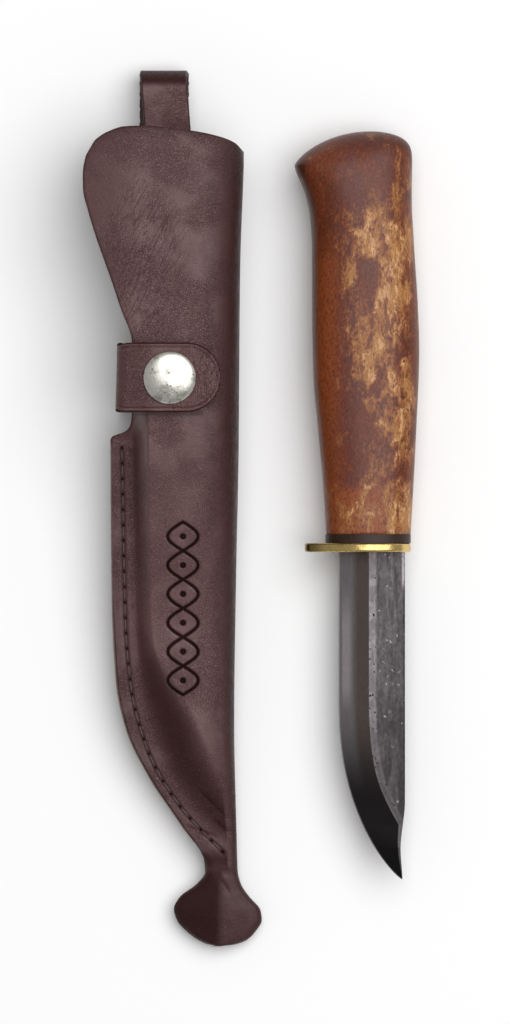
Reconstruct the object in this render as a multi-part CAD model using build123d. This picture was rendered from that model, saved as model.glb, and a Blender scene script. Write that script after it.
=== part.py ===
"""Whittling knife with its folded leather sheath, lying side by side on a table.

Frame: +X to the right, +Y from the sheath's toe to its mouth, +Z up from the table top.
The sheath is drawn in a frame of its own, where z = 0 is the middle of its thickness and
the blade's plane. It is then tilted about X, because it rests on its belt loop and its toe.
"""
from build123d import *
import os
from math import cos, radians, sin, sqrt, tan

os.makedirs("parts", exist_ok=True)

# ---------------------------------------------------------------- driving dimensions, mm
# knife
BLADE_LENGTH = 94.8
BLADE_THICKNESS = 3.0
BLADE_EDGE_X = 25.3
BLADE_SPINE_X = 44.7
BLADE_TIP_X = 43.75
BELLY_START = 43.0          # from the guard to where the edge begins to curve up
CLIP_START = 72.0           # from the guard to where the spine begins to drop
BEVEL_WIDTH = 8.8
EDGE_FLAT = 0.1             # thickness left at the cutting edge
TANG_WIDTH = 5.0
TANG_LENGTH = 92.0
TANG_X = 34.2
GUARD_FRONT_Y = -12.6
GUARD_THICKNESS = 2.6
SPACER_THICKNESS = 2.6
POMMEL_TOP_Y = 109.2
BORE_RADIUS = 3.2
GUARD_OVAL = (33.6, 12.6, 10.0)     # x of its middle, half width, half height
GUARD_FINGER = (19.0, 3.5)  # x of its round end's middle, and its radius
GUARD_ROUNDING = 0.7
TANG_FIT = 0.05             # room round the tang in the guard and the spacer
LIP = (12.6, 99.9)          # the pommel's lip, in x and y
POMMEL_SHOULDER_Y = 103.5
KNIFE_MID_Z = 11.4          # half the handle's thickness at the pommel, which it lies on

# sheath leather
LEATHER = 2.2
WELT = 1.4
FLANGE_HALF = LEATHER + WELT / 2
POCKET_HALF = 13.3          # half thickness around the handle
BLADE_HALF = 6.3            # half thickness around the blade liner
TOE_HALF = 3.1
TOE_Y = -126.9
SEAM_TOP_Y = 20.9
LINER_TOP_Y = 20.0
LINER_FIT = 0.15            # room between the liner and the leather
SLOT_ROOM = (0.5, 0.4)      # round the blade in its slot, in plan and in thickness
NECK_Y = -101.5
STATIONS = (-84, -66, -52, -38, -24, -10, 4, 14)
OPEN_LEFT_X = -60.0         # past the free edges, so that the pocket is open there
TOE_TAPER = (-100.0, 42.0)  # where the blade's stretch starts to thicken, and over what length
POCKET_TAPER = (-45.0, 75.0)  # the same for the stretch around the handle
FOLD_WIDTHS = (3.0, 2.5, 3.5)  # at the toe, and what each taper adds
SEAM_LAND = 2.9             # flat leather between the stitches and the foot of the slope
FLANK = (5.0, 11.0)         # width of that slope at the handle, and what it gains towards the toe
FLANK_GROWTH = (-35.0, 40.0)  # where it starts to gain, and over what length
FREE_EDGE_X = -33.0         # left of this the open front drops towards its free edge
FREE_EDGE_DROP = 0.055
SEWN_END = (19.0, 15.0)     # where the seam lets the front go, and over what length
FOLD_FACETS = 10
SHEATH_TILT = 5.0
TOE_LIFT = TOE_HALF / cos(radians(SHEATH_TILT)) - TOE_Y * tan(radians(SHEATH_TILT))

# belt loop
LOOP_THICKNESS = 1.8
LOOP_LEFT_X = -32.4
LOOP_RIGHT_X = -17.6
LOOP_TOP_Y = 125.7

# strap and snap
STRAP_THICKNESS = 1.8
STRAP_Y = 39.5
STRAP_WIDTH = 20.0
STRAP_FOLD_X = -38.0
STRAP_END_X = -8.7
SNAP_X = -23.5
SNAP_GAP = 3.2              # room for the socket between the strap and the leather
CAP_RADIUS = 7.6
CAP_HEIGHT = 2.7
HOLE_RADIUS = 1.5
POST_RADIUS = 1.45
POST_FIT = 0.05
SOCKET_RADIUS = 5.6
SOCKET_MOUTH = 3.0
SOCKET_LIFT = 0.65          # from the leather to the socket's rim
STUD_FLANGE = 4.8
RIVET_HEAD = (4.5, 0.5)     # radius and thickness
SPRING = (3.22, 0.22)       # radii of the ring and of its wire
SPRING_LIFT = 0.8           # from the socket's rim to the middle of the ring
STRAP_Z = POCKET_HALF + SNAP_GAP + STRAP_THICKNESS / 2
TAIL_Z = -POCKET_HALF - STRAP_THICKNESS / 2
TAIL_Y = STRAP_Y + (TAIL_Z - STRAP_Z) * tan(radians(SHEATH_TILT))  # straight below the flap

# thread
THREAD = 0.8
THREAD_PROUD = 0.35
SEAM_STITCHES = 28
STITCH_GAP = 0.5            # leather left between one stitch and the next
STITCH_HEM = 2.0            # from a strip's edge to its stitches

CUT_REACH = 60.0            # taller and wider than the sheath or the knife, for cutting tools


# ---------------------------------------------------------------- helpers
def smooth(value):
    """0 below 0, 1 above 1, and an even S between them."""
    v = min(max(value, 0.0), 1.0)
    return v * v * (3 - 2 * v)


def taper(y, stretch):
    """How far y is along a stretch given as (start, length), from 0 to 1."""
    start, length = stretch
    return smooth((y - start) / length)


def through(knots, y):
    """A smooth curve through (y, value) knots in rising y, flat beyond both ends."""
    if y <= knots[0][0]:
        return knots[0][1]
    if y >= knots[-1][0]:
        return knots[-1][1]
    i = max(k for k in range(len(knots) - 1) if knots[k][0] <= y)

    def slope(k):
        low, high = max(k - 1, 0), min(k + 1, len(knots) - 1)
        return (knots[high][1] - knots[low][1]) / (knots[high][0] - knots[low][0])

    (y0, v0), (y1, v1) = knots[i], knots[i + 1]
    span = y1 - y0
    t = (y - y0) / span
    return ((2 * t**3 - 3 * t**2 + 1) * v0 + (t**3 - 2 * t**2 + t) * span * slope(i)
            + (3 * t**2 - 2 * t**3) * v1 + (t**3 - t**2) * span * slope(i + 1))


def save(shape, node):
    """Write one sub-part to its own STEP file."""
    export_step(shape, f"parts/{node}.step")


def in_sheath(shape):
    """Take a shape from the sheath's own frame to where the sheath lies on the table."""
    return Pos(0, 0, TOE_LIFT) * Rot(X=SHEATH_TILT) * shape


def slab(outline, half_height):
    """A closed outline in XY, made into a slab about z = 0."""
    return extrude(make_face(outline), half_height, both=True)


def strip(path, thickness, plane, width):
    """A bent strip: a path drawn in a plane, given a thickness, and a width across it."""
    profile = path.offset_2d(thickness / 2, side=Side.BOTH)
    face = plane * Face(profile)
    return extrude(face, width / 2, both=True)


# ---------------------------------------------------------------- the sheath's shape
FOLD_X = [(-105, -3.9), (-95, -4.2), (-62, -4.9), (-18, -4.3), (16, -3.6), (66, -3.2), (104, -2.1)]
SEAM_X = [(-102, -13.6), (-91.5, -20.5), (-77.6, -29.8), (-63.7, -36.4), (-50, -39.2),
          (-25, -40.4), (20, -40.7)]
MOUTH = [(-42.0, 108.4), (-36.6, 110.2), (-31.6, 110.4), (-17.5, 109.0), (-9.6, 107.4), (-4.7, 105.5),
         (-2.2, 103.0)]
STITCH_X = [(-99.3, -8.4), (-86.3, -20.6), (-70.3, -29.9), (-52.6, -34.7), (-34, -36.4), (17.5, -37.4)]


def half_thickness(y):
    """Half the thickness of the sheath's plateau: toe, blade and handle stretches."""
    blade = TOE_HALF + (BLADE_HALF - TOE_HALF) * taper(y, TOE_TAPER)
    return blade + (POCKET_HALF - BLADE_HALF) * taper(y, POCKET_TAPER)


def fold_width(y):
    """How far the rounded fold reaches in from the sheath's right edge."""
    at_toe, blade_gain, handle_gain = FOLD_WIDTHS
    return at_toe + blade_gain * taper(y, TOE_TAPER) + handle_gain * taper(y, POCKET_TAPER)


def flank_width(y):
    """Width of the slope between the seam's flat land and the plateau."""
    at_handle, gain = FLANK
    start, length = FLANK_GROWTH
    return at_handle + gain * smooth((start - y) / length)


def surface(x, y):
    """Half thickness of the sheath at (x, y), left of the fold."""
    plateau = half_thickness(y)
    foot = through(STITCH_X, y) + SEAM_LAND
    sewn = FLANGE_HALF + max(plateau - FLANGE_HALF, 0) * smooth((x - foot) / flank_width(y))
    free = plateau - FREE_EDGE_DROP * max(FREE_EDGE_X - x, 0) ** 1.5
    return sewn + (free - sewn) * taper(y, SEWN_END)


def sheath_section(y, inset):
    """The folded leather's section at y, or the same shape further in by inset."""
    right = through(FOLD_X, y)
    width = fold_width(y)
    start = right - width
    foot = min(through(STITCH_X, y) + SEAM_LAND, start - 1.8)
    rim = min(foot + flank_width(y), start - 0.6)
    slope = [rim + (foot - rim) * share for share in (0, 0.25, 0.5, 0.75, 1)]
    across = [start, *slope, -41, -50, OPEN_LEFT_X]
    top = [(x, surface(x, y) - inset) for x in across]
    height = top[0][1]
    turns = [radians(180 * k / FOLD_FACETS - 90) for k in range(1, FOLD_FACETS)]
    fold = [(start + (width - inset) * cos(a), height * sin(a)) for a in turns]
    bottom = [(x, -z) for x, z in reversed(top)]
    plane = Plane(origin=(0, y, 0), x_dir=(1, 0, 0), z_dir=(0, -1, 0))
    return plane * make_face(Polyline(*bottom, *fold, *top, close=True))


def sheath_volume(stations, inset):
    return loft([sheath_section(y, inset) for y in stations], ruled=True)


def plan_of_sheath():
    """The sheath seen from straight above, down to the neck above its toe."""
    right = [MOUTH[-1]] + [(through(FOLD_X, y), y) for y in (66, 16, -18, -62, -95, NECK_Y - 2)]
    seam = [(through(SEAM_X, y), y) for y in (NECK_Y - 2, -91.5, -77.6, -63.7, -50, -25, 19)]
    return Wire([
        Spline(*MOUTH, tangents=((1, 0.35), (0.45, -1))),
        Spline(*right),
        Line(right[-1], seam[0]),
        Spline(*seam),
        Line(seam[-1], (-40.3, SEAM_TOP_Y)),
        Spline((-40.3, SEAM_TOP_Y), (-36.2, 22.2), (-34.6, 26.5), tangents=((1, 0), (0, 1))),
        Line((-34.6, 26.5), (-34.4, 47.7)),
        Spline((-34.4, 47.7), (-40.1, 65.1), (-45.0, 79.0), (-48.5, 92.0), (-47.9, 101.1),
               (-45.3, 106.0), MOUTH[0], tangents=((-0.3, 1), (1, 0.35))),
    ])


def plan_of_toe():
    """The flared toe, from the neck down."""
    neck_left, neck_right = (-13.6, NECK_Y), (through(FOLD_X, NECK_Y), NECK_Y)
    return Wire([
        Line(neck_left, neck_right),
        Spline(neck_right, (-3.6, -106.5), (-0.6, -112.4), (3.2, -118.4), (-1.0, -124.6),
               (-9.0, TOE_Y), tangents=((0.1, -1), (-1, 0))),
        Spline((-9.0, TOE_Y), (-18.7, -122.8), (-22.7, -116.0), (-16.1, -108.9), neck_left,
               tangents=((-1, 0), (0, 1))),
    ])


# ---------------------------------------------------------------- sheath parts
def make_leather():
    """One folded piece. Its outline is cut straight down, so it is cut after the tilt."""
    outer = in_sheath(sheath_volume((NECK_Y - 1, *STATIONS, 24, 34, 50, 80, 114), 0))
    pocket = in_sheath(sheath_volume((-97, *STATIONS, 24, 34, 50, 80, 118), LEATHER))
    body = (outer & slab(plan_of_sheath(), CUT_REACH)) - pocket
    toe_sheet = in_sheath(Pos(-10, -114, 0) * Box(60, 50, 2 * TOE_HALF))
    toe = toe_sheet & slab(plan_of_toe(), CUT_REACH)
    snap_hole = Pos(SNAP_X, STRAP_Y, POCKET_HALF) * Cylinder(HOLE_RADIUS, 4 * LEATHER)
    return body + toe - in_sheath(snap_hole)


def make_welt():
    """The strip sewn between the two panels, to keep the edge off the thread."""
    levels = (-94, -86.3, -77, -66, -52.6, -30, 0, SEAM_TOP_Y - 1)
    outside = [(through(SEAM_X, y) + 0.2, y) for y in levels]
    inside = [(through(STITCH_X, y) + 2.2, y) for y in reversed(levels)]
    outline = Wire([Spline(*outside), Line(outside[-1], inside[0]),
                    Spline(*inside), Line(inside[-1], outside[0])])
    return slab(outline, WELT / 2)


def blade_plan(clearance):
    """The blade's outline from the guard to the tip, grown by a clearance."""
    levels = [BELLY_START + (BLADE_LENGTH - BELLY_START) * k / 6 for k in range(7)]
    belly = [(blade_edge(v) - clearance, GUARD_FRONT_Y - v) for v in levels[:-1]]
    tip = (BLADE_TIP_X, GUARD_FRONT_Y - BLADE_LENGTH - clearance)
    heel = (BLADE_EDGE_X - clearance, GUARD_FRONT_Y)
    spine = BLADE_SPINE_X + clearance
    return Wire([Line(heel, belly[0]), Spline(*belly, tip),
                 Line(tip, (spine, GUARD_FRONT_Y - CLIP_START)),
                 Line((spine, GUARD_FRONT_Y - CLIP_START), (spine, GUARD_FRONT_Y)),
                 Line((spine, GUARD_FRONT_Y), heel)])


def blade_edge(distance):
    """X of the cutting edge at a distance from the guard: straight, then a rising belly."""
    s = max(distance - BELLY_START, 0) / (BLADE_LENGTH - BELLY_START)
    return BLADE_EDGE_X + (BLADE_TIP_X - BLADE_EDGE_X) * (1 - (1 - min(s, 1) ** 2.3) ** 0.83)


def make_liner():
    """The stiff insert that the blade slides into, with its slot."""
    body = sheath_volume((-90, *STATIONS, LINER_TOP_Y), LEATHER + LINER_FIT)
    levels = (-92, -80, -66, -52, -30, LINER_TOP_Y + 1)
    left = [(through(STITCH_X, y) + 2.6, y) for y in levels]
    room = Wire([Spline(*left), Line(left[-1], (0, levels[-1])),
                 Line((0, levels[-1]), (0, levels[0])), Line((0, levels[0]), left[0])])
    sheathed = Pos(-8.4 - BLADE_SPINE_X, LINER_TOP_Y + 4 - GUARD_FRONT_Y, 0)
    in_plan, in_thickness = SLOT_ROOM
    slot = sheathed * slab(blade_plan(in_plan), BLADE_THICKNESS / 2 + in_thickness)
    return (body & slab(room, CUT_REACH)) - slot


def stitch(start, end, z, half_gap):
    """One saddle stitch: a bar on the front, a bar on the back and the thread between."""
    length = (end - start).length - STITCH_GAP
    middle = (start + end) / 2
    angle = Vector(1, 0, 0).get_signed_angle(end - start, Vector(0, 0, 1))
    reach = half_gap + THREAD_PROUD
    bar = Box(length, THREAD, THREAD_PROUD + 0.3)
    top = Pos(0, 0, reach - (THREAD_PROUD + 0.3) / 2) * bar
    bottom = Pos(0, 0, -reach + (THREAD_PROUD + 0.3) / 2) * bar
    leg = Pos(-length / 2 + THREAD / 2, 0, 0) * Box(THREAD, THREAD, 2 * reach - 0.1)
    return Pos(middle.X, middle.Y, z) * Rot(Z=angle) * (top + bottom + leg)


def stitch_row(path, count, z, half_gap):
    marks = [path.position_at(k / count) for k in range(count + 1)]
    return [stitch(a, b, z, half_gap) for a, b in zip(marks, marks[1:])]


def make_seam_thread():
    path = Spline(*[(x, y) for y, x in reversed(STITCH_X)])
    marks = [path.position_at(k / SEAM_STITCHES) for k in range(SEAM_STITCHES + 1)]
    stitches = []
    for a, b in zip(marks, marks[1:]):
        middle = (a + b) / 2
        stitches.append(stitch(a, b, 0, surface(middle.X, middle.Y)))
    return Compound(children=stitches)


def table_under_loop(y):
    """In the sheath's frame, the middle of the loop's lower layer, which lies on the table."""
    tilt = radians(SHEATH_TILT)
    return -(TOE_LIFT + y * sin(tilt) - LOOP_THICKNESS / 2) / cos(tilt)


def make_belt_loop():
    """One strip: down the sheath's back, folded over above the mouth, and back to the stitches."""
    on_back = -POCKET_HALF - LOOP_THICKNESS / 2
    end = LOOP_TOP_Y - LOOP_THICKNESS / 2
    path = FilletPolyline((96, on_back), (end, on_back), (end, table_under_loop(end)),
                          (87, table_under_loop(87)), (77, on_back), (62, on_back),
                          radius=[4.4, 4.4, 4, 4])
    middle_x = (LOOP_LEFT_X + LOOP_RIGHT_X) / 2
    plane = Plane(origin=(middle_x, 0, 0), x_dir=(0, 1, 0), z_dir=(1, 0, 0))
    return strip(Wire(path.edges()), LOOP_THICKNESS, plane, LOOP_RIGHT_X - LOOP_LEFT_X)


def stitched_to_back(corners, per_side, depth):
    """Rows of stitches from corner to corner, through a strip and the back panel."""
    z = -POCKET_HALF + (LEATHER - depth) / 2
    stitches = []
    for a, b in zip(corners, corners[1:]):
        stitches += stitch_row(Line(a, b), per_side, z, (LEATHER + depth) / 2)
    return Compound(children=stitches)


def make_loop_stitches():
    left, right = LOOP_LEFT_X + STITCH_HEM, LOOP_RIGHT_X - STITCH_HEM
    corners = [(left, 75), (left, 64), (right, 64), (right, 75)]
    return stitched_to_back(corners, 3, LOOP_THICKNESS)


def make_strap_tail():
    """From its stitches on the back, round the open side and up to the fold of the flap.

    It goes up plumb, although the sheath leans, so it stays out of sight under the flap.
    """
    tilt = radians(SHEATH_TILT)
    under = (TAIL_Z - STRAP_Z) / cos(tilt)
    top = -STRAP_THICKNESS - 0.3
    path = FilletPolyline((-13, under), (STRAP_FOLD_X, under), (STRAP_FOLD_X, top), radius=3)
    profile = Wire(path.edges()).offset_2d(STRAP_THICKNESS / 2, side=Side.BOTH)
    plumb = Plane(origin=(0, STRAP_Y, STRAP_Z), x_dir=(1, 0, 0), z_dir=(0, -cos(tilt), sin(tilt)))
    return extrude(plumb * Face(profile), STRAP_WIDTH / 2, dir=(0, 1, 0), both=True)


def make_strap_stitches():
    reach = STRAP_WIDTH / 2 - STITCH_HEM
    low, high = TAIL_Y - reach, TAIL_Y + reach
    corners = [(-27, low), (-15, low), (-15, high), (-27, high)]
    return stitched_to_back(corners, 4, STRAP_THICKNESS)


def make_strap_flap():
    """The part that swings: flat, round at its end, and rolled at the fold."""
    radius = STRAP_WIDTH / 2
    length = STRAP_END_X - radius - STRAP_FOLD_X
    flat = Pos(STRAP_FOLD_X + length / 2, STRAP_Y, STRAP_Z) * Box(length, STRAP_WIDTH, STRAP_THICKNESS)
    tongue = Pos(STRAP_END_X - radius, STRAP_Y, STRAP_Z) * Cylinder(radius, STRAP_THICKNESS)
    roll = Pos(STRAP_FOLD_X, STRAP_Y, STRAP_Z) * Rot(X=90) * Cylinder(STRAP_THICKNESS / 2, STRAP_WIDTH)
    hole = Pos(SNAP_X, STRAP_Y, STRAP_Z) * Cylinder(HOLE_RADIUS, 2 * STRAP_THICKNESS)
    return flat + tongue + roll - hole


# ---------------------------------------------------------------- snap fastener
def turned(points):
    """A solid of revolution about the snap's own axis, from (radius, z) points."""
    profile = make_face(Polyline(*points, close=True))
    return Pos(SNAP_X, STRAP_Y, 0) * revolve(Plane.XZ * profile, Axis.Z)


def make_snap_cap():
    """A domed cap with a rolled rim, and a hollow post through the strap."""
    base = STRAP_Z + STRAP_THICKNESS / 2
    foot = STRAP_Z - STRAP_THICKNESS / 2 - 0.55
    dome = Spline((CAP_RADIUS, base + 0.5), (CAP_RADIUS * 0.8, base + 1.75), (0, base + CAP_HEIGHT),
                  tangents=((-0.1, 1), (-1, 0)))
    profile = make_face(Wire([
        Line((0, foot), (POST_RADIUS, foot)), Line((POST_RADIUS, foot), (POST_RADIUS, base)),
        Line((POST_RADIUS, base), (CAP_RADIUS - 0.4, base)),
        Line((CAP_RADIUS - 0.4, base), (CAP_RADIUS, base + 0.5)), dome,
        Line((0, base + CAP_HEIGHT), (0, foot))]))
    return Pos(SNAP_X, STRAP_Y, 0) * revolve(Plane.XZ * profile, Axis.Z)


def make_snap_socket():
    """The half under the strap: a cup with a groove for its spring."""
    top = STRAP_Z - STRAP_THICKNESS / 2
    rim = POCKET_HALF + SOCKET_LIFT
    hole = POST_RADIUS + POST_FIT
    groove = SOCKET_MOUTH + 0.6
    return turned([(hole, top), (SOCKET_RADIUS, top), (SOCKET_RADIUS, rim), (SOCKET_MOUTH, rim),
                   (SOCKET_MOUTH, rim + 0.5), (groove, rim + 0.5), (groove, rim + 1.1),
                   (SOCKET_MOUTH, rim + 1.1), (SOCKET_MOUTH, top - 0.6), (hole, top - 0.6)])


def make_snap_spring():
    """The split ring that snaps behind the stud's head."""
    z = POCKET_HALF + SOCKET_LIFT + SPRING_LIFT
    radius, wire = SPRING
    ring = Torus(radius, wire)
    split = Pos(radius, 0, 0) * Box(1.2, 1.4, 1.2)
    return Pos(SNAP_X, STRAP_Y, z) * (ring - split)


def make_snap_stud():
    """The half on the sheath: a flange and a waisted head, hollow for the post."""
    z = POCKET_HALF
    hole = POST_RADIUS + POST_FIT
    return turned([(hole, z), (STUD_FLANGE, z), (STUD_FLANGE, z + 0.5), (1.95, z + 0.5),
                   (1.95, z + 1.3), (2.3, z + 1.7), (2.1, z + 2.4), (0, z + 2.4), (0, z + 1.9),
                   (hole, z + 1.9)])


def make_snap_post():
    """The rivet set from inside the pocket into the stud."""
    inside = POCKET_HALF - LEATHER
    head, thickness = RIVET_HEAD
    return turned([(0, inside - thickness), (head, inside - thickness), (head, inside),
                   (POST_RADIUS, inside), (POST_RADIUS, inside + 3.6), (0, inside + 3.6)])


# ---------------------------------------------------------------- knife
HANDLE_LEFT = [(-7.1, 21.7), (6.5, 20.85), (22.8, 19.35), (39, 18.0), (55, 17.66), (75, 17.6),
               (84, 17.1), (91.8, 15.2), (99.9, 12.6), (110, 12.6)]
HANDLE_RIGHT = [(-7.1, 46.2), (22.8, 47.8), (46, 48.66), (60, 48.2), (75.6, 47.2), (90, 46.5), (110, 46.6)]
HANDLE_HALF = [(-7.1, 9.5), (20, 10.1), (50, 10.8), (70, 10.5), (90, 10.8), (100, 11.4), (110, 11.4)]
HANDLE_FRONT_Y = GUARD_FRONT_Y + GUARD_THICKNESS + SPACER_THICKNESS


def oval(y, left, right, half_height):
    plane = Plane(origin=((left + right) / 2, y, KNIFE_MID_Z), x_dir=(1, 0, 0), z_dir=(0, -1, 0))
    return plane * Ellipse((right - left) / 2, half_height)


def tang_box(grow, start, end):
    width = TANG_WIDTH + 2 * grow
    thick = BLADE_THICKNESS + 2 * grow
    return Pos(TANG_X, (start + end) / 2, KNIFE_MID_Z) * Box(width, end - start, thick)


def blade_section(distance):
    """Spine, flat and bevel at a distance from the guard, as a closed polygon."""
    edge = blade_edge(distance)
    clip = max(distance - CLIP_START, 0) / (BLADE_LENGTH - CLIP_START)
    spine = BLADE_SPINE_X + (BLADE_TIP_X + 0.1 - BLADE_SPINE_X) * clip
    share = min(BEVEL_WIDTH / (BLADE_SPINE_X - BLADE_EDGE_X), 0.8)
    shoulder = min(edge + BEVEL_WIDTH + 2 * clip, spine - (spine - edge) * (1 - share) * 0.35)
    half = BLADE_THICKNESS / 2 * min(1, (shoulder - edge) / (BEVEL_WIDTH * 0.75))
    thin = EDGE_FLAT / 2
    points = [(spine, -half), (spine, half), (shoulder, half), (edge, thin), (edge, -thin),
              (shoulder, -half)]
    plane = Plane(origin=(0, GUARD_FRONT_Y - distance, KNIFE_MID_Z), x_dir=(1, 0, 0), z_dir=(0, -1, 0))
    return plane * make_face(Polyline(*points, close=True))


def make_blade():
    """Blade and stick tang, forged in one piece."""
    belly = [BELLY_START + (BLADE_LENGTH - BELLY_START) * sqrt(k / 9) for k in range(9)]
    tip = BLADE_LENGTH - 0.15
    body = loft([blade_section(d) for d in [0, *belly, tip]], ruled=True)
    return body + tang_box(0, GUARD_FRONT_Y, GUARD_FRONT_Y + TANG_LENGTH)


def make_guard():
    """A brass plate with one finger on the edge side."""
    plane = Plane(origin=(0, GUARD_FRONT_Y, KNIFE_MID_Z), x_dir=(1, 0, 0), z_dir=(0, -1, 0))
    middle, half_width, half_height = GUARD_OVAL
    tip, radius = GUARD_FINGER
    body = Pos(middle, 0) * Ellipse(half_width, half_height)
    finger = Pos(tip, 0) * Circle(radius)
    outline = make_hull(body.edges() + finger.edges())
    plate = extrude(plane * outline, -GUARD_THICKNESS)
    return fillet(plate.edges(), GUARD_ROUNDING) - tang_box(TANG_FIT, GUARD_FRONT_Y - 1, GUARD_FRONT_Y + 5)


def make_spacer():
    start = GUARD_FRONT_Y + GUARD_THICKNESS
    plate = extrude(oval(start, 21.5, 46.2, 9.6), -SPACER_THICKNESS)
    return plate - tang_box(TANG_FIT, start - 1, start + 4)


def handle_bore(radius):
    end = GUARD_FRONT_Y + TANG_LENGTH + 1.5
    middle = (HANDLE_FRONT_Y + end) / 2
    return Pos(TANG_X, middle, KNIFE_MID_Z) * Rot(X=90) * Cylinder(radius, end - HANDLE_FRONT_Y)


def make_handle():
    """Oval, waisted, with a lip at the pommel and a domed end, bored for the tang."""
    levels = (HANDLE_FRONT_Y, 8, 26, 46, 62, 78, 87, 94, 100, 110)
    body = loft([oval(y, through(HANDLE_LEFT, y), through(HANDLE_RIGHT, y), through(HANDLE_HALF, y))
                 for y in levels])
    low = HANDLE_FRONT_Y - 1
    lip_y = LIP[1]
    shoulder = (46.7, POMMEL_SHOULDER_Y)
    plan = Wire([
        Line((5, low), (5, lip_y)), Line((5, lip_y), LIP),
        Spline(LIP, (15.9, 104.0), (24.9, 108.0), (34.5, POMMEL_TOP_Y), (42.5, 108.0), shoulder,
               tangents=((0.1, 1), (0.1, -1))),
        Line(shoulder, (55, shoulder[1])), Line((55, shoulder[1]), (55, low)), Line((55, low), (5, low))])
    side = Wire([
        Line((low, -15), (100, -15)), Line((100, -15), (100, -11.5)),
        ThreePointArc((100, -11.5), (POMMEL_TOP_Y, 0), (100, 11.5)),
        Line((100, 11.5), (100, 15)), Line((100, 15), (low, 15)), Line((low, 15), (low, -15))])
    plan_block = Pos(0, 0, KNIFE_MID_Z) * slab(plan, 20)
    side_plane = Plane(origin=(0, 0, KNIFE_MID_Z), x_dir=(0, 1, 0), z_dir=(1, 0, 0))
    side_block = extrude(side_plane * Face(side), CUT_REACH, both=True)
    return (body & plan_block & side_block) - handle_bore(BORE_RADIUS)


def make_tang_epoxy():
    return handle_bore(BORE_RADIUS) - tang_box(0, GUARD_FRONT_Y, GUARD_FRONT_Y + TANG_LENGTH)


# ---------------------------------------------------------------- write every sub-part
SHEATH_PARTS = {
    "welt": make_welt,
    "blade_liner": make_liner,
    "seam_thread": make_seam_thread,
    "belt_loop": make_belt_loop,
    "loop_stitches": make_loop_stitches,
    "strap_tail": make_strap_tail,
    "strap_stitches": make_strap_stitches,
    "strap_flap": make_strap_flap,
    "snap_cap": make_snap_cap,
    "snap_socket": make_snap_socket,
    "snap_spring": make_snap_spring,
    "snap_stud": make_snap_stud,
    "snap_post": make_snap_post,
}
KNIFE_PARTS = {
    "blade": make_blade,
    "guard": make_guard,
    "spacer": make_spacer,
    "handle": make_handle,
    "tang_epoxy": make_tang_epoxy,
}

save(make_leather(), "sheath_leather")
for node, make in SHEATH_PARTS.items():
    save(in_sheath(make()), node)
for node, make in KNIFE_PARTS.items():
    save(make(), node)
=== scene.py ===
"""Looks for a whittling knife lying beside its leather sheath.

The pieces are worked out in millimetres, and new_piece turns them into metres. The floor, the light
and the camera are in metres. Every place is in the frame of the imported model: +X from sheath to knife,
+Y from toe to mouth, +Z up. The sheath has a frame of its own, whose z = 0 is the middle of its
thickness, and it lies tilted on its belt loop and its toe.
"""
import bpy
import numpy as np
import bmesh
from collections import namedtuple
from math import cos, pi, radians, sin, tan
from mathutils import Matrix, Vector
from mathutils.kdtree import KDTree


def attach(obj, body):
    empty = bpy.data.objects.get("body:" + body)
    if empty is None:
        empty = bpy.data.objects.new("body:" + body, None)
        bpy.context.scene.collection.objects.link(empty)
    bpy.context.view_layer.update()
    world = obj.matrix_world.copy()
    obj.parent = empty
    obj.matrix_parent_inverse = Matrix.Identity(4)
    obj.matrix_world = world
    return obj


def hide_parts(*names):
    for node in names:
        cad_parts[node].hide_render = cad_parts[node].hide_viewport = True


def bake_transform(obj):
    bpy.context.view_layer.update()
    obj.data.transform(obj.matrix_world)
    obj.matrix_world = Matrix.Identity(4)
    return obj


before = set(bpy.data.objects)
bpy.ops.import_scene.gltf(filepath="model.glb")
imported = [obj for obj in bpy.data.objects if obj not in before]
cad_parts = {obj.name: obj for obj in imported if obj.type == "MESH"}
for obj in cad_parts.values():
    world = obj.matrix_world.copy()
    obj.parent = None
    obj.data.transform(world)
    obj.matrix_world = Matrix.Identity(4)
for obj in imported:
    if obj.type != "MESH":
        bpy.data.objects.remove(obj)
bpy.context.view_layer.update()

bl_info = {
    "name": "Whittling knife and sheath",
    "version": (1, 0, 0),
    "blender": (4, 5, 0),
    "location": "3D View > Sidebar > Knife",
    "description": "Builds the visible surfaces of a carving knife and its leather sheath",
    "category": "Object",
}

MM = 0.001

# ------------------------------------------------------------------ sizes shared by the pieces
TILT = radians(5.0)
TOE_HALF = 3.1
TOE_Y = -126.9
LIFT = TOE_HALF / cos(TILT) - TOE_Y * tan(TILT)
LEATHER = 2.2
FLANGE_HALF = 2.9
BLADE_HALF = 6.3
POCKET_HALF = 13.3
NECK_Y = -101.5
RIM_Y = 108.0

FOLD_X = [(-126.9, -9.0), (-126.3, -4.4), (-124.9, -1.0), (-122.8, 1.1), (-119.3, 3.1), (-116.4, 2.7),
          (-112.4, -0.6), (-108.9, -2.9), (-105, -3.9), (-95, -4.2), (-62, -4.9), (-18, -4.3),
          (16, -3.6), (66, -3.2), (104, -2.1)]
SEAM_LAND = 2.9
LEFT_X = [(-126.9, -9.1), (-126.3, -12.8), (-124.9, -15.8), (-122.8, -18.7), (-119.3, -21.8),
          (-116, -22.7), (-112.4, -20.8), (-108.9, -16.1), (-105.4, -13.5), (-102, -13.8),
          (-91.5, -20.5), (-77.6, -29.8), (-63.7, -36.4), (-50, -39.2), (-25, -40.4), (19.6, -40.7),
          (20.8, -40.2), (21.4, -38.8), (22.0, -37.0), (23.0, -35.6), (24.6, -34.8), (27, -34.5),
          (47.7, -34.4), (58.1, -37.8), (65.1, -40.1), (79, -45.0), (86, -47.1), (92.0, -48.5),
          (96.4, -48.6), (101.1, -47.9), (103.6, -46.9), (106.0, -45.3)]
STITCH_X = [(-99.3, -8.4), (-86.3, -20.6), (-70.3, -29.9), (-52.6, -34.7), (-34, -36.4), (17.5, -37.4)]
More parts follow.
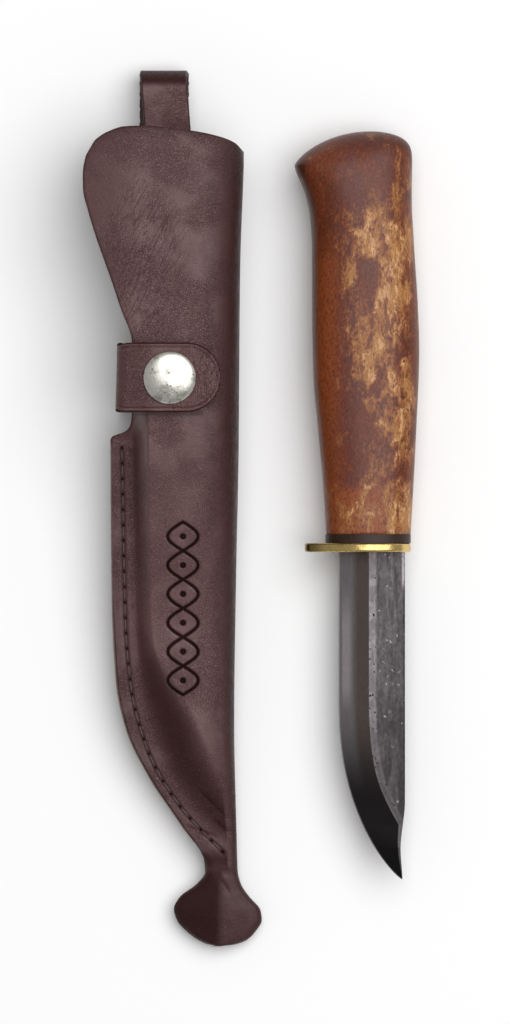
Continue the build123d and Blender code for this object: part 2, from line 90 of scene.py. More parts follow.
RIM = [(-47.0, 103.6), (-45.3, 106.0), (-42.0, 108.4), (-36.6, 110.2), (-31.6, 110.4), (-17.5, 109.0),
       (-9.6, 107.4), (-4.7, 105.5), (-2.2, 103.0)]

STRAP_Y = 39.5
STRAP_WIDTH = 20.0
STRAP_THICK = 1.8
STRAP_FOLD_X = -38.0
STRAP_END_X = -8.7
SNAP_X = -23.5
STRAP_Z = POCKET_HALF + 3.2 + STRAP_THICK / 2
CAP_RADIUS = 7.6
CAP_POST = 1.45
CAP_DENTS = [(-1.5, -3.2, 3.0, 0.10), (2.6, -2.4, 1.6, 0.07)]

# how dark the painted shade by the leather's fold is, and where a strap's points lie, inwards from its edge
FOLD_SHADE = 0.42
GAPS = np.array([0, 0.2, 0.4, 0.6, 0.8, 1.0, 1.2, 1.4, 1.7, 2.2, 3.0, 4.2])

# where handling has creased the leather: middle and reach in the plan, the creases' lean and fineness
Creased = namedtuple("Creased", "centre reach lean fineness strength")
HIDE_CREASED = Creased((-32, 72), (16, 30), 0.5, 0.6, 0.55)
LOOP_CREASED = Creased((-25, 116), (8, 7), 1.35, 0.9, 0.2)
STRAP_CREASED = Creased((-11.5, 38.5), (6.5, 12), 0.0, 0.8, 0.95)

ORNAMENT_X = -19.75
ORNAMENT_Y = -28.9
ORNAMENT_HALF = 25.0
ORNAMENT_REACH = 4.4
ORNAMENT_EYES = 6
ORNAMENT_DOT = 0.45

BLADE_LENGTH = 94.8
BLADE_EDGE_X = 25.3
BLADE_SPINE_X = 44.7
BLADE_TIP_X = 43.75
BELLY_START = 43.0
CLIP_START = 72.0
GUARD_FRONT_Y = -12.6
HANDLE_FRONT_Y = -7.4
KNIFE_MID_Z = 11.4


# ------------------------------------------------------------------ curves
def smooth(v):
    v = np.clip(v, 0.0, 1.0)
    return v * v * (3 - 2 * v)


def through(knots, at):
    """A curve through (position, value) knots that never overshoots them."""
    xs, vs = np.array(knots, float).T
    steps = np.diff(vs) / np.diff(xs)
    slopes = np.zeros(len(xs))
    before, after = steps[:-1], steps[1:]
    same = before * after > 0
    slopes[1:-1][same] = 2 * before[same] * after[same] / (before + after)[same]
    slopes[0], slopes[-1] = steps[0], steps[-1]
    at = np.clip(np.asarray(at, float), xs[0], xs[-1])
    i = np.clip(np.searchsorted(xs, at, side="right") - 1, 0, len(xs) - 2)
    span = xs[i + 1] - xs[i]
    t = (at - xs[i]) / span
    return ((2 * t**3 - 3 * t**2 + 1) * vs[i] + (t**3 - 2 * t**2 + t) * span * slopes[i]
            + (3 * t**2 - 2 * t**3) * vs[i + 1] + (t**3 - t**2) * span * slopes[i + 1])


def in_sheath(points):
    """Points in the sheath's own frame, taken to where the sheath lies."""
    p = np.asarray(points, float)
    x, y, z = p[..., 0], p[..., 1], p[..., 2]
    return np.stack([x, y * cos(TILT) - z * sin(TILT), LIFT + y * sin(TILT) + z * cos(TILT)], -1)


def under_plan(x, y, z):
    """Like in_sheath, for a place known from above: y is where it lies, and z its own height."""
    own_y = (y + z * sin(TILT)) / cos(TILT)
    return np.stack([x, y, LIFT + own_y * sin(TILT) + z * cos(TILT)], -1)


# ------------------------------------------------------------------ mesh helpers
def new_piece(name, points, faces, material, body, stands_for=(), smooth_shading=True):
    """A mesh from points in millimetres, riding on a body of the frame."""
    mesh = bpy.data.meshes.new(name)
    mesh.from_pydata((np.asarray(points, float) * MM).tolist(), [], [list(map(int, f)) for f in faces])
    mesh.validate()
    shape = bmesh.new()
    shape.from_mesh(mesh)
    bmesh.ops.recalc_face_normals(shape, faces=shape.faces)
    shape.to_mesh(mesh)
    shape.free()
    mesh.update()
    obj = bpy.data.objects.new(name, mesh)
    bpy.context.scene.collection.objects.link(obj)
    mesh.materials.append(material)
    mesh.polygons.foreach_set("use_smooth", [smooth_shading] * len(mesh.polygons))
    if body:
        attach(obj, body)
    if stands_for:
        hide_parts(*stands_for)
    return obj


def grid_faces(rows, columns, start=0, wrap=False, flip=False):
    """Quads over a grid of points stored row by row; wrap joins the last column to the first."""
    faces = []
    last = columns if wrap else columns - 1
    for r in range(rows - 1):
        for c in range(last):
            a, b = start + r * columns + c, start + r * columns + (c + 1) % columns
            quad = (a, b, b + columns, a + columns)
            faces.append(quad[::-1] if flip else quad)
    return faces


def tube(centres, normals, radius, sides=10, strands=0, twist=0.0, squash=1.0):
    """A closed round bar along a line; strands twist round it like a waxed thread's plies."""
    centres, normals = np.asarray(centres, float), np.asarray(normals, float)
    ahead = np.gradient(centres, axis=0)
    ahead /= np.linalg.norm(ahead, axis=1)[:, None]
    across = np.cross(ahead, normals)
    across /= np.linalg.norm(across, axis=1)[:, None]
    up = np.cross(across, ahead)
    run = np.concatenate([[0], np.cumsum(np.linalg.norm(np.diff(centres, axis=0), axis=1))])
    turn = np.arange(sides) * 2 * pi / sides
    points = []
    for k, centre in enumerate(centres):
        r = radius[k] if np.ndim(radius) else radius
        ply = 1 + (0.14 * np.cos(strands * (turn - twist * run[k])) if strands else 0)
        points.append(centre + (np.cos(turn) * r * ply)[:, None] * across[k]
                      + (np.sin(turn) * r * ply * squash)[:, None] * up[k])
    points = np.concatenate([*points, centres[:1], centres[-1:]])
    count = len(centres)
    faces = grid_faces(count, sides, wrap=True)
    first, last = count * sides, count * sides + 1
    for c in range(sides):
        n = (c + 1) % sides
        faces.append((first, n, c))
        faces.append((last, (count - 1) * sides + c, (count - 1) * sides + n))
    return points, faces


def merged(parts):
    """Several (points, faces) as one."""
    points, faces, start = [], [], 0
    for p, f in parts:
        points.append(np.asarray(p, float))
        faces += [tuple(i + start for i in face) for face in f]
        start += len(p)
    return np.concatenate(points), faces


def point_values(obj, name, values):
    """Stores one number per point, for a material to read."""
    layer = obj.data.attributes.new(name, "FLOAT", "POINT")
    layer.data.foreach_set("value", np.asarray(values, np.float32))


# ------------------------------------------------------------------ material helpers
class Nodes:
    """A short way to write a material's node tree."""

    def __init__(self, name):
        self.material = bpy.data.materials.new(name)
        self.material.use_nodes = True
        self.tree = self.material.node_tree
        self.shader = self.tree.nodes["Principled BSDF"]

    def add(self, kind, inputs=None, **settings):
        node = self.tree.nodes.new(kind)
        for key, value in settings.items():
            setattr(node, key, value)
        for key, value in (inputs or {}).items():
            self.feed(node.inputs[key], value)
        return node

    def feed(self, socket, value):
        if isinstance(value, bpy.types.NodeSocket):
            self.tree.links.new(value, socket)
        else:
            socket.default_value = value

    def place(self, scale=(1, 1, 1), turn=(0, 0, 0), lean=0.0):
        """Object coordinates in millimetres, leaned about Z, then stretched, then turned."""
        source = self.add("ShaderNodeTexCoord").outputs["Object"]
        if lean:
            leaned = self.add("ShaderNodeMapping", {"Vector": source})
            leaned.inputs["Rotation"].default_value = (0, 0, lean)
            source = leaned.outputs["Vector"]
        mapping = self.add("ShaderNodeMapping", {"Vector": source})
        mapping.inputs["Scale"].default_value = [s / MM for s in scale]
        mapping.inputs["Rotation"].default_value = turn
        return mapping.outputs["Vector"]

    def noise(self, place, scale, detail=4.0, rough=0.55, distort=0.0):
        node = self.add("ShaderNodeTexNoise", {"Vector": place, "Scale": scale, "Detail": detail,
                                               "Roughness": rough, "Distortion": distort})
        return node.outputs["Fac"]

    def cells(self, place, scale, feature="F1"):
        node = self.add("ShaderNodeTexVoronoi", {"Vector": place, "Scale": scale}, feature=feature)
        return node.outputs["Distance"]

    def math(self, operation, a, b=0.0, clamp=False):
        node = self.add("ShaderNodeMath", operation=operation, use_clamp=clamp)
        self.feed(node.inputs[0], a)
        self.feed(node.inputs[1], b)
        return node.outputs[0]

    def span(self, value, low, high, to_low=0.0, to_high=1.0):
        node = self.add("ShaderNodeMapRange", {"Value": value, "From Min": low, "From Max": high,
                                               "To Min": to_low, "To Max": to_high},
                        interpolation_type="SMOOTHSTEP")
        return node.outputs["Result"]

    def mix(self, share, a, b):
        node = self.add("ShaderNodeMix", data_type="RGBA")
        self.feed(node.inputs["Factor"], share)
        for socket, value in ((node.inputs[6], a), (node.inputs[7], b)):
            self.feed(socket, (*value, 1) if isinstance(value, (tuple, list)) else value)
        return node.outputs[2]

    def value_of(self, name):
        return self.add("ShaderNodeAttribute", attribute_name=name).outputs["Fac"]

    def axis(self, which):
        """One object coordinate in millimetres."""
        split = self.add("ShaderNodeSeparateXYZ", {"Vector": self.place()})
        return split.outputs[which]

    def bump(self, height, depth, strength=1.0, under=None):
        node = self.add("ShaderNodeBump", {"Height": height, "Distance": depth * MM,
                                           "Strength": strength})
        if under is not None:
            self.feed(node.inputs["Normal"], under)
        return node.outputs["Normal"]

    def near(self, centre, reach):
        """1 at a place in the XY plane, falling to 0 at its reach along X and along Y."""
        away = [self.math("DIVIDE", self.math("SUBTRACT", self.axis(which), middle), far)
                for which, middle, far in zip("XY", centre, reach)]
        square = self.math("ADD", *(self.math("MULTIPLY", part, part) for part in away))
        return self.span(square, 0.15, 1.0, 1.0, 0.0)

    def warp(self, place, scale, amount):
        """Pushes the coordinates about, so that straight or round features wander."""
        node = self.add("ShaderNodeTexNoise", {"Vector": place, "Scale": scale, "Detail": 2.0})
        away = self.add("ShaderNodeVectorMath", {0: node.outputs["Color"], 1: (0.5, 0.5, 0.5)},
                        operation="SUBTRACT")
        push = self.add("ShaderNodeVectorMath", {0: away.outputs[0], 1: (amount, amount, amount)},
                        operation="MULTIPLY")
        moved = self.add("ShaderNodeVectorMath", {0: place, 1: push.outputs[0]}, operation="ADD")
        return moved.outputs[0]

    def finish(self, colour, rough, normal=None, **sockets):
        self.feed(self.shader.inputs["Base Color"], (*colour, 1) if isinstance(colour, tuple) else colour)
        self.feed(self.shader.inputs["Roughness"], rough)
        if normal is not None:
            self.feed(self.shader.inputs["Normal"], normal)
        for key, value in sockets.items():
            self.shader.inputs[key.replace("_", " ")].default_value = value
        return self.material


# ------------------------------------------------------------------ settings
class SheathSettings(bpy.types.PropertyGroup):
    leather_colour: bpy.props.FloatVectorProperty(
        name="Leather", description="Colour of the sheath's dyed leather", subtype="COLOR",
        size=3, min=0, max=1, default=(0.082, 0.0270, 0.0265))
    strap_colour: bpy.props.FloatVectorProperty(
        name="Strap leather", description="Colour of the strap and the belt loop", subtype="COLOR",
        size=3, min=0, max=1, default=(0.084, 0.0250, 0.0235))
    thread_colour: bpy.props.FloatVectorProperty(
        name="Thread", description="Colour of the waxed thread", subtype="COLOR",
        size=3, min=0, max=1, default=(0.040, 0.020, 0.014))
    groove_depth: bpy.props.FloatProperty(
        name="Ornament depth", description="How deep the ornament is pressed, in millimetres",
        default=0.5, min=0, max=1.2)
    stitch_count: bpy.props.IntProperty(
        name="Stitches", description="Number of stitches along the seam", default=28, min=10, max=60)


class KnifeSettings(bpy.types.PropertyGroup):
    wood_dark: bpy.props.FloatVectorProperty(
        name="Dark wood", description="Red-brown ground colour of the handle", subtype="COLOR",
        size=3, min=0, max=1, default=(0.135, 0.029, 0.011))
    wood_light: bpy.props.FloatVectorProperty(
        name="Light figure", description="Tan colour of the curly figure", subtype="COLOR",
        size=3, min=0, max=1, default=(0.42, 0.20, 0.062))
    steel_colour: bpy.props.FloatVectorProperty(
        name="Steel", description="Colour of the forged steel", subtype="COLOR",
        size=3, min=0, max=1, default=(0.055, 0.050, 0.052))
    brass_colour: bpy.props.FloatVectorProperty(
        name="Brass", description="Colour of the guard", subtype="COLOR",
        size=3, min=0, max=1, default=(0.72, 0.52, 0.20))


class StageSettings(bpy.types.PropertyGroup):
    key_power: bpy.props.FloatProperty(
        name="Softbox", description="Power of the overhead softbox, in watts", default=66.0, min=0)
    room_light: bpy.props.FloatProperty(
        name="Room light", description="Strength of the even light all round", default=0.33, min=0)
    floor_colour: bpy.props.FloatVectorProperty(
        name="Floor", description="Colour of the plain floor", subtype="COLOR",
        size=3, min=0, max=1, default=(0.95, 0.95, 0.95))
    camera_height: bpy.props.FloatProperty(
        name="Camera height", description="Height of the camera above the table", unit="LENGTH",
        default=6.0, min=0.5)
    view_height: bpy.props.FloatProperty(
        name="View height", description="Length along Y that the picture takes in", unit="LENGTH",
        default=0.297, min=0.1)


# ------------------------------------------------------------------ materials
def shade(colour, times):
    return tuple(min(1.0, c * times) for c in colour)


def leather_material(name, colour, creased, rim=False):
    """Dyed cowhide: satin pebble grain, soft creases in one place with painted shade and painted highlights,
    painted shade and other darkening where the points' values say, and dark pressed places.
    """
    n = Nodes(name)
    place = n.place()
    shade_and_darkening = n.value_of("shade_and_darkening")
    cloud = n.noise(place, 0.045, 3.0, 0.5)
    mottle = n.noise(place, 0.42, 5.0, 0.6)
    pebble = n.cells(n.warp(place, 0.9, 1.2), 1.55, "DISTANCE_TO_EDGE")
    furrow = n.span(pebble, 0.0, 0.22, 1.0, 0.0)
    grainy = n.span(n.noise(n.place((1, 1, 1), (0, 0, 0.4)), 0.07, 2.0, 0.5), 0.36, 0.6, 0.2, 1.0)
    fine = n.noise(place, 3.2, 3.0, 0.6)

    ground = n.mix(n.span(cloud, 0.36, 0.66), shade(colour, 1.02), shade(colour, 1.14))
    ground = n.mix(n.span(mottle, 0.46, 0.75, 0.0, 0.35), ground, shade(colour, 0.65))
    ground = n.mix(n.math("MULTIPLY", furrow, n.math("MULTIPLY", grainy, 0.3)), ground, shade(colour, 0.5))
    scuffs = n.span(n.noise(n.place((1, 1, 1), (0, 0, 1.1)), 0.9, 6.0, 0.7), 0.66, 0.72, 0.0, 0.4)
    ground = n.mix(n.math("MULTIPLY", scuffs, n.span(cloud, 0.5, 0.6)), ground, (0.24, 0.15, 0.13))
    drawn = n.noise(n.warp(n.place((1.0, 0.16, 1.0), lean=creased.lean), 0.4, 1.0), creased.fineness,
                    3.0, 0.6, 0.3)
    off_line = n.math("SUBTRACT", drawn, 0.5)
    at_creases = n.near(creased.centre, creased.reach)
    lines = n.math("MULTIPLY", n.span(n.math("ABSOLUTE", off_line), 0.0, 0.03, 1.0, 0.0), at_creases)
    beside = n.math("MULTIPLY", n.span(off_line, 0.015, 0.04), n.span(drawn, 0.62, 0.56))
    beside = n.math("MULTIPLY", beside, at_creases)
    # painted shade along the creases' lines and a painted highlight beside them
    ground = n.mix(n.math("MULTIPLY", lines, 0.6 * creased.strength), ground, shade(colour, 0.3))
    ground = n.mix(n.math("MULTIPLY", beside, 0.2), ground, shade(colour, 1.8))
    # painted shade and other darkening, as much as each point's value says
    ground = n.mix(n.math("MULTIPLY", shade_and_darkening, 0.95), ground, shade(colour, 0.26))
    if rim:
        gap = n.value_of("rim_gap")
        inside = n.span(gap, 1.0, 1.18)
        # along the strap's edge: a darker pressed line inside the edge, and a lighter band between the line
        # and the edge
        line = n.math("MULTIPLY", inside, n.span(gap, 1.2, 1.45, 1.0, 0.0))
        lighter_band = n.math("MULTIPLY", n.span(gap, 0.3, 0.75), n.span(gap, 0.85, 1.0, 1.0, 0.0))
        ground = n.mix(n.math("MULTIPLY", line, 0.8), ground, shade(colour, 0.2))
        ground = n.mix(n.math("MULTIPLY", lighter_band, 0.35), ground, shade(colour, 2.0))
        veiled = n.span(shade_and_darkening, 0.0, 1.0)
    else:
        gap = n.value_of("line_gap")
        # the ornament's lines and the stitch holes are darkened almost to black: the pressed leather's own
        # darker tone, and painted shade in the grooves and holes
        uneven = n.math("MULTIPLY", n.math("SUBTRACT", fine, 0.5), 0.35)
        pressed = n.span(n.math("ADD", gap, uneven), 0.26, 0.58, 1.0, 0.0)
        ground = n.mix(n.math("MULTIPLY", pressed, 0.94), ground, shade(colour, 0.07))
        veiled = n.math("MAXIMUM", shade_and_darkening, pressed)
    height = n.math("SUBTRACT", 1.0, n.math("MULTIPLY", furrow, grainy))
    normal = n.bump(height, 0.13, 0.9)
    normal = n.bump(fine, 0.05, 0.6, normal)
    normal = n.bump(mottle, 0.22, 0.5, normal)
    normal = n.bump(lines, -0.2 * creased.strength, 0.8, normal)
    # less reflection where shade is painted, so that it stays dark
    n.feed(n.shader.inputs["Specular Tint"], n.mix(veiled, (1.0, 0.96, 0.96), (0.09, 0.07, 0.07)))
    rough = n.span(mottle, 0.3, 0.7, 0.38, 0.52)
    return n.finish(ground, rough, normal, Specular_IOR_Level=0.75)


def edge_leather_material(name, colour):
    """Cut edges: dyed and rubbed at the mouth, worn to raw tan along the lower seam."""
    n = Nodes(name)
    place = n.place()
    layers = n.noise(n.place((0.25, 0.25, 2.2)), 1.4, 4.0, 0.6)
    patches = n.span(n.noise(n.place((1.0, 0.4, 2.0)), 0.5, 5.0, 0.65), 0.30, 0.70, 0.25, 0.85)
    raw = n.math("MULTIPLY", patches, n.span(n.axis("Y"), 12.0, -45.0, 0.15, 0.9))
    ground = n.mix(n.span(layers, 0.35, 0.7), shade(colour, 0.4), shade(colour, 0.9))
    tan_edge = n.mix(n.span(layers, 0.3, 0.7), (0.15, 0.085, 0.05), (0.27, 0.17, 0.10))
    ground = n.mix(raw, ground, tan_edge)
    normal = n.bump(layers, 0.12, 0.6)
    normal = n.bump(n.noise(place, 3.0, 3.0), 0.05, 0.5, normal)
    return n.finish(ground, 0.6, normal)


def thread_material(colour):
    n = Nodes("waxed_thread")
    fibre = n.noise(n.place((3.0, 3.0, 3.0)), 2.2, 4.0, 0.7)
    ground = n.mix(fibre, tuple(c * 0.5 for c in colour), tuple(c * 1.9 for c in colour))
    return n.finish(ground, 0.48, n.bump(fibre, 0.05, 0.6), Sheen_Weight=0.1)


def nickel_material():
    """A plated cap that has been handled: polished crown, scratches, worn dark pits, and painted shade
    towards its low side.
    """
    n = Nodes("worn_nickel")
    place = n.place()
    wandering = n.warp(place, 0.4, 1.5)
    cloud = n.noise(wandering, 0.26, 5.0, 0.65)
    # painted shade: darker towards the cap's low side (-Y), through the same mask as the tarnish
    low_side = n.span(n.axis("Y"), 37.5, 32.5, 0.0, 0.13)
    patchy = n.math("ADD", cloud, low_side)
    pits = n.cells(place, 0.8)
    spots = n.math("MULTIPLY", n.span(pits, 0.10, 0.26, 1.0, 0.0), n.span(patchy, 0.50, 0.60))
    scratch = n.noise(n.place((0.5, 6.0, 1.0), (0, 0, 0.7)), 1.2, 5.0, 0.7)
    tarnish_and_shade = n.span(patchy, 0.52, 0.66)
    ground = n.mix(tarnish_and_shade, (0.80, 0.78, 0.71), (0.44, 0.43, 0.38))
    ground = n.mix(n.math("MULTIPLY", spots, 0.85), ground, (0.07, 0.065, 0.05))
    rough = n.math("ADD", n.span(cloud, 0.35, 0.75, 0.30, 0.44), n.math("MULTIPLY", spots, 0.3))
    normal = n.bump(scratch, 0.02, 0.3)
    normal = n.bump(cloud, 0.25, 0.5, normal)
    normal = n.bump(spots, -0.06, 0.5, normal)
    return n.finish(ground, rough, normal, Metallic=1.0)


def metal_material(name, colour, rough, brushed=(1.0, 1.0, 1.0), grain=1.5, depth=0.02):
    """Plain worked metal with fine lines along its grain and a little tarnish."""
    n = Nodes(name)
    lines = n.noise(n.place(brushed), grain, 5.0, 0.65)
    cloud = n.noise(n.place(), 0.22, 4.0, 0.6)
    ground = n.mix(n.span(cloud, 0.35, 0.7), colour, tuple(c * 0.62 for c in colour))
    roughness = n.span(lines, 0.3, 0.7, rough * 0.7, rough * 1.35)
    return n.finish(ground, roughness, n.bump(lines, depth, 0.5), Metallic=1.0)


def guard_material(brass):
    """Polished brass with patches of tarnish, darker and browner towards the tip of its finger, which is
    painted shade on its rounded end.
    """
    n = Nodes("guard_brass")
    place = n.place()
    lines = n.noise(n.place((0.3, 1.0, 6.0)), 1.4, 5.0, 0.65)
    cloud = n.noise(place, 0.30, 4.0, 0.6)
    # painted shade on the finger's rounded tip
    at_finger = n.span(n.axis("X"), 22.5, 17.5, 0.0, 0.95)
    tarnish_and_shade = n.math("MAXIMUM", n.span(cloud, 0.45, 0.70, 0.0, 0.6), at_finger)
    ground = n.mix(tarnish_and_shade, brass, shade(brass, 0.36))
    rough = n.span(lines, 0.3, 0.7, 0.20, 0.36)
    normal = n.bump(lines, 0.03, 0.5)
    return n.finish(ground, rough, n.bump(cloud, 0.3, 0.5, normal), Metallic=1.0)


def wood_material(dark, light):
    """Oiled curly birch: maroon ground, amber at the edge side, ragged tan flame on the spine side."""
    n = Nodes("curly_birch")
    x, y = n.axis("X"), n.axis("Y")
    place = n.place()
    fibre = n.noise(n.place((1.0, 0.12, 1.0)), 1.0, 5.0, 0.65, 0.3)
    fine_fibre = n.noise(n.place((1.0, 0.16, 1.0)), 3.0, 4.0, 0.65)
    flecks = n.noise(n.place((1.0, 0.55, 1.0)), 1.5, 5.0, 0.7, 0.4)
    maroon, plum = shade(dark, 0.55), (0.118, 0.036, 0.031)
    amber = (dark[0] * 2.05, dark[1] * 2.1, dark[2] * 1.2)

    # the ground drifts between maroon, plum and amber
    drift = n.noise(n.place((1.0, 0.6, 1.0)), 0.10, 4.0, 0.6, 0.8)
    ground = n.mix(n.span(drift, 0.42, 0.58), shade(maroon, 1.25), dark)
    middle = n.math("MULTIPLY", n.span(x, 22.0, 27.0), n.span(x, 46.0, 38.0))
    ground = n.mix(n.math("MULTIPLY", middle, n.span(drift, 0.35, 0.6, 0.8, 0.3)), ground, plum)
    edge_side = n.math("MULTIPLY", n.span(x, 17.6, 19.4), n.span(x, 29.0, 21.5))
    low_left = n.span(y, 84.0, 64.0)
    edge_side = n.math("MULTIPLY", edge_side, n.math("ADD", low_left, 0.1, clamp=True))
    low_end = n.math("MULTIPLY", n.span(y, 9.0, 3.0), n.span(x, 44.0, 36.0))
    warm = n.math("ADD", n.math("MULTIPLY", edge_side, 0.8), low_end, clamp=True)
    ground = n.mix(n.math("MULTIPLY", warm, n.span(flecks, 0.32, 0.62, 0.3, 1.0)), ground, amber)

    # the flame: brown, then tan, then pale flecks, with ragged borders along the grain
    flame = n.noise(n.warp(n.place((1.0, 0.6, 0.9)), 0.35, 2.6), 0.20, 5.0, 0.62, 0.6)
    figure = n.math("ADD", flame, n.math("MULTIPLY", n.math("SUBTRACT", fibre, 0.5), 0.42))
    figure = n.math("ADD", figure, n.math("MULTIPLY", n.math("SUBTRACT", flecks, 0.5), 0.45))
    figure = n.math("ADD", figure, n.value_of("figure"))
    brown_share = n.span(figure, 0.42, 0.60)
    tan_share = n.span(figure, 0.53, 0.72)
    streaks = n.span(fine_fibre, 0.30, 0.60, 0.35, 1.0)
    brown = tuple(0.9 * d + 0.34 * c for d, c in zip(dark, light))
    ground = n.mix(n.math("MULTIPLY", brown_share, n.span(flecks, 0.30, 0.58, 0.35, 1.0)), ground, brown)
    ground = n.mix(n.math("MULTIPLY", tan_share, streaks), ground, light)
    pale = n.noise(n.place((1.0, 0.4, 1.0), (0.0, 0.0, 0.2)), 0.38, 4.0, 0.65)
    cream = n.math("MULTIPLY", n.span(figure, 0.57, 0.68), n.span(pale, 0.47, 0.57))
    ground = n.mix(n.math("MULTIPLY", cream, n.span(fine_fibre, 0.3, 0.6, 0.35, 0.9)), ground,
                   tuple(min(1, 1.35 * c + 0.09) for c in light))

    # veins of brown through the tan, speckle, dark pores, and painted shade along the left side and over the
    # domed end
    veins = n.noise(n.warp(n.place((1.0, 0.35, 1.0)), 0.5, 2.0), 0.55, 5.0, 0.65, 0.5)
    ground = n.mix(n.math("MULTIPLY", n.span(veins, 0.47, 0.38), n.math("MULTIPLY", tan_share, 0.75)), ground,
                   tuple(1.25 * d + 0.16 * c for d, c in zip(dark, light)))
    specks = n.noise(n.place((1.0, 0.6, 1.0), (0.0, 0.0, 0.3)), 2.3, 3.0, 0.6)
    ground = n.mix(n.span(flecks, 0.54, 0.68, 0.0, 0.65), ground, amber)
    ground = n.mix(n.math("MULTIPLY", n.span(specks, 0.56, 0.68), 0.25), ground, shade(light, 0.7))
    ground = n.mix(n.math("MULTIPLY", n.span(specks, 0.43, 0.33), 0.6), ground, shade(maroon, 0.8))
    ground = n.mix(n.span(flecks, 0.45, 0.30, 0.0, 0.7), ground, maroon)
    pores = n.cells(n.warp(n.place((1.0, 0.30, 1.0)), 0.8, 0.8), 0.85)
    open_pores = n.math("MULTIPLY", n.span(pores, 0.08, 0.20, 0.7, 0.0), n.span(drift, 0.45, 0.6))
    ground = n.mix(open_pores, ground, maroon)
    # painted shade where the left side and the domed end turn away
    left_side_shade = n.math("MULTIPLY", n.span(x, 18.8, 17.2), n.span(y, 95.0, 82.0))
    dome_shade = n.math("MAXIMUM", n.span(y, 101.5, 108.5, 0.0, 0.75), n.span(x, 17.5, 13.5))
    ground = n.mix(n.math("MULTIPLY", n.math("MAXIMUM", left_side_shade, dome_shade), 0.75), ground, shade(dark, 0.33))
    rough = n.span(fibre, 0.3, 0.7, 0.36, 0.50)
    normal = n.bump(fibre, 0.06, 0.4)
    normal = n.bump(fine_fibre, 0.04, 0.35, normal)
    normal = n.bump(n.noise(place, 0.3, 3.0), 0.25, 0.4, normal)
    return n.finish(ground, rough, normal, Specular_IOR_Level=0.25, Coat_Weight=0.14, Coat_Roughness=0.32)


def blade_material(steel):
    """Forged steel: dark forge skin on the flats, a smoky ground bevel, a worn shoulder between, a painted
    highlight along the bevel and painted dark reflection towards the tip.
    """
    n = Nodes("forged_steel")
    place = n.place()
    from_edge, past_ridge, y = n.value_of("from_edge"), n.value_of("past_ridge"), n.axis("Y")
    cloud = n.noise(place, 0.16, 5.0, 0.6, 0.5)
    drawn = n.noise(n.place((1.0, 0.10, 1.0)), 0.7, 4.0, 0.6)
    skin = n.noise(n.place((1.0, 0.6, 1.0)), 1.1, 5.0, 0.7, 0.3)
    wobble = n.math("MULTIPLY", n.math("SUBTRACT", drawn, 0.5), 0.9)
    # painted dark reflection towards the tip
    to_tip = n.span(y, -57.0, -84.0)

    flat = n.mix(n.span(drawn, 0.34, 0.66), shade(steel, 0.95), shade(steel, 1.7))
    flat = n.mix(n.span(skin, 0.35, 0.7, 0.0, 0.4), flat, shade(steel, 0.8))
    # painted dark reflection on the flats towards the tip
    flat = n.mix(n.span(y, -30.0, -88.0, 0.0, 0.9), flat, shade(steel, 0.5))
    spots = n.math("MULTIPLY", n.span(n.cells(n.warp(place, 1.6, 1.8), 0.45), 0.05, 0.21, 1.0, 0.0),
                   n.span(cloud, 0.46, 0.54))
    smears = n.noise(n.place((1.0, 0.22, 1.0)), 0.32, 4.0, 0.6, 0.6)
    flat = n.mix(n.span(smears, 0.50, 0.70, 0.0, 0.35), flat, shade(steel, 2.4))
    flat = n.mix(n.span(smears, 0.46, 0.32, 0.0, 0.6), flat, shade(steel, 0.55))
    flat = n.mix(n.math("MULTIPLY", spots, 0.75), flat, shade(steel, 6.0))
    worn_spine = n.math("MULTIPLY", n.span(n.axis("X"), 43.3, 44.2), n.span(y, -24.0, -20.5))
    flat = n.mix(n.math("MULTIPLY", worn_spine, n.span(skin, 0.36, 0.5)), flat, shade(steel, 7.0))

    smoke = n.mix(n.span(n.math("ADD", from_edge, wobble), 3.6, 5.8), shade(steel, 1.75),
                  (0.058, 0.047, 0.043))
    # painted highlight: a bright strip along the bevel near the edge
    bright = n.math("MULTIPLY", n.span(from_edge, 0.5, 1.5), n.span(from_edge, 4.4, 2.6))
    bright = n.math("MULTIPLY", bright, n.math("MULTIPLY", n.span(y, -20.0, -36.0), n.span(y, -60.0, -50.0)))
    smoke = n.mix(n.math("MULTIPLY", bright, 0.8), smoke, shade(steel, 3.4))
    # painted dark reflection on the bevel towards the tip
    smoke = n.mix(to_tip, smoke, shade(steel, 0.22))
    ground = n.mix(n.span(past_ridge, -0.15, 0.05), smoke, flat)

    shoulder = n.math("MULTIPLY", n.span(past_ridge, -0.1, 0.15),
                      n.span(n.math("ADD", past_ridge, wobble), 2.5, 1.5))
    pits = n.math("MULTIPLY", n.span(n.cells(n.warp(place, 0.9, 1.0), 0.75), 0.12, 0.26, 1.0, 0.0),
                  n.span(cloud, 0.46, 0.54))
    worn = n.mix(n.span(cloud, 0.42, 0.56), shade(steel, 3.0), shade(steel, 4.6))
    worn = n.mix(pits, worn, shade(steel, 0.35))
    # painted dark reflection on the shoulder towards the tip
    worn = n.mix(n.span(y, -38.0, -82.0, 0.0, 0.85), worn, shade(steel, 1.3))
    ground = n.mix(n.math("MULTIPLY", shoulder, 0.88), ground, worn)
    ground = n.mix(n.span(from_edge, 0.42, 0.18, 0.0, 0.6), ground, shade(steel, 5.0))

    grind = n.noise(n.place((0.25, 6.0, 1.0)), 0.9, 4.0, 0.6)
    on_bevel = n.span(past_ridge, 0.1, -0.1)
    rough = n.span(skin, 0.3, 0.7, 0.36, 0.52)
    normal = n.bump(skin, 0.05, 0.45)
    normal = n.bump(n.math("MULTIPLY", pits, shoulder), -0.15, 0.8, normal)
    normal = n.bump(n.math("MULTIPLY", grind, on_bevel), 0.012, 0.5, normal)
    return n.finish(ground, rough, normal, Metallic=1.0)


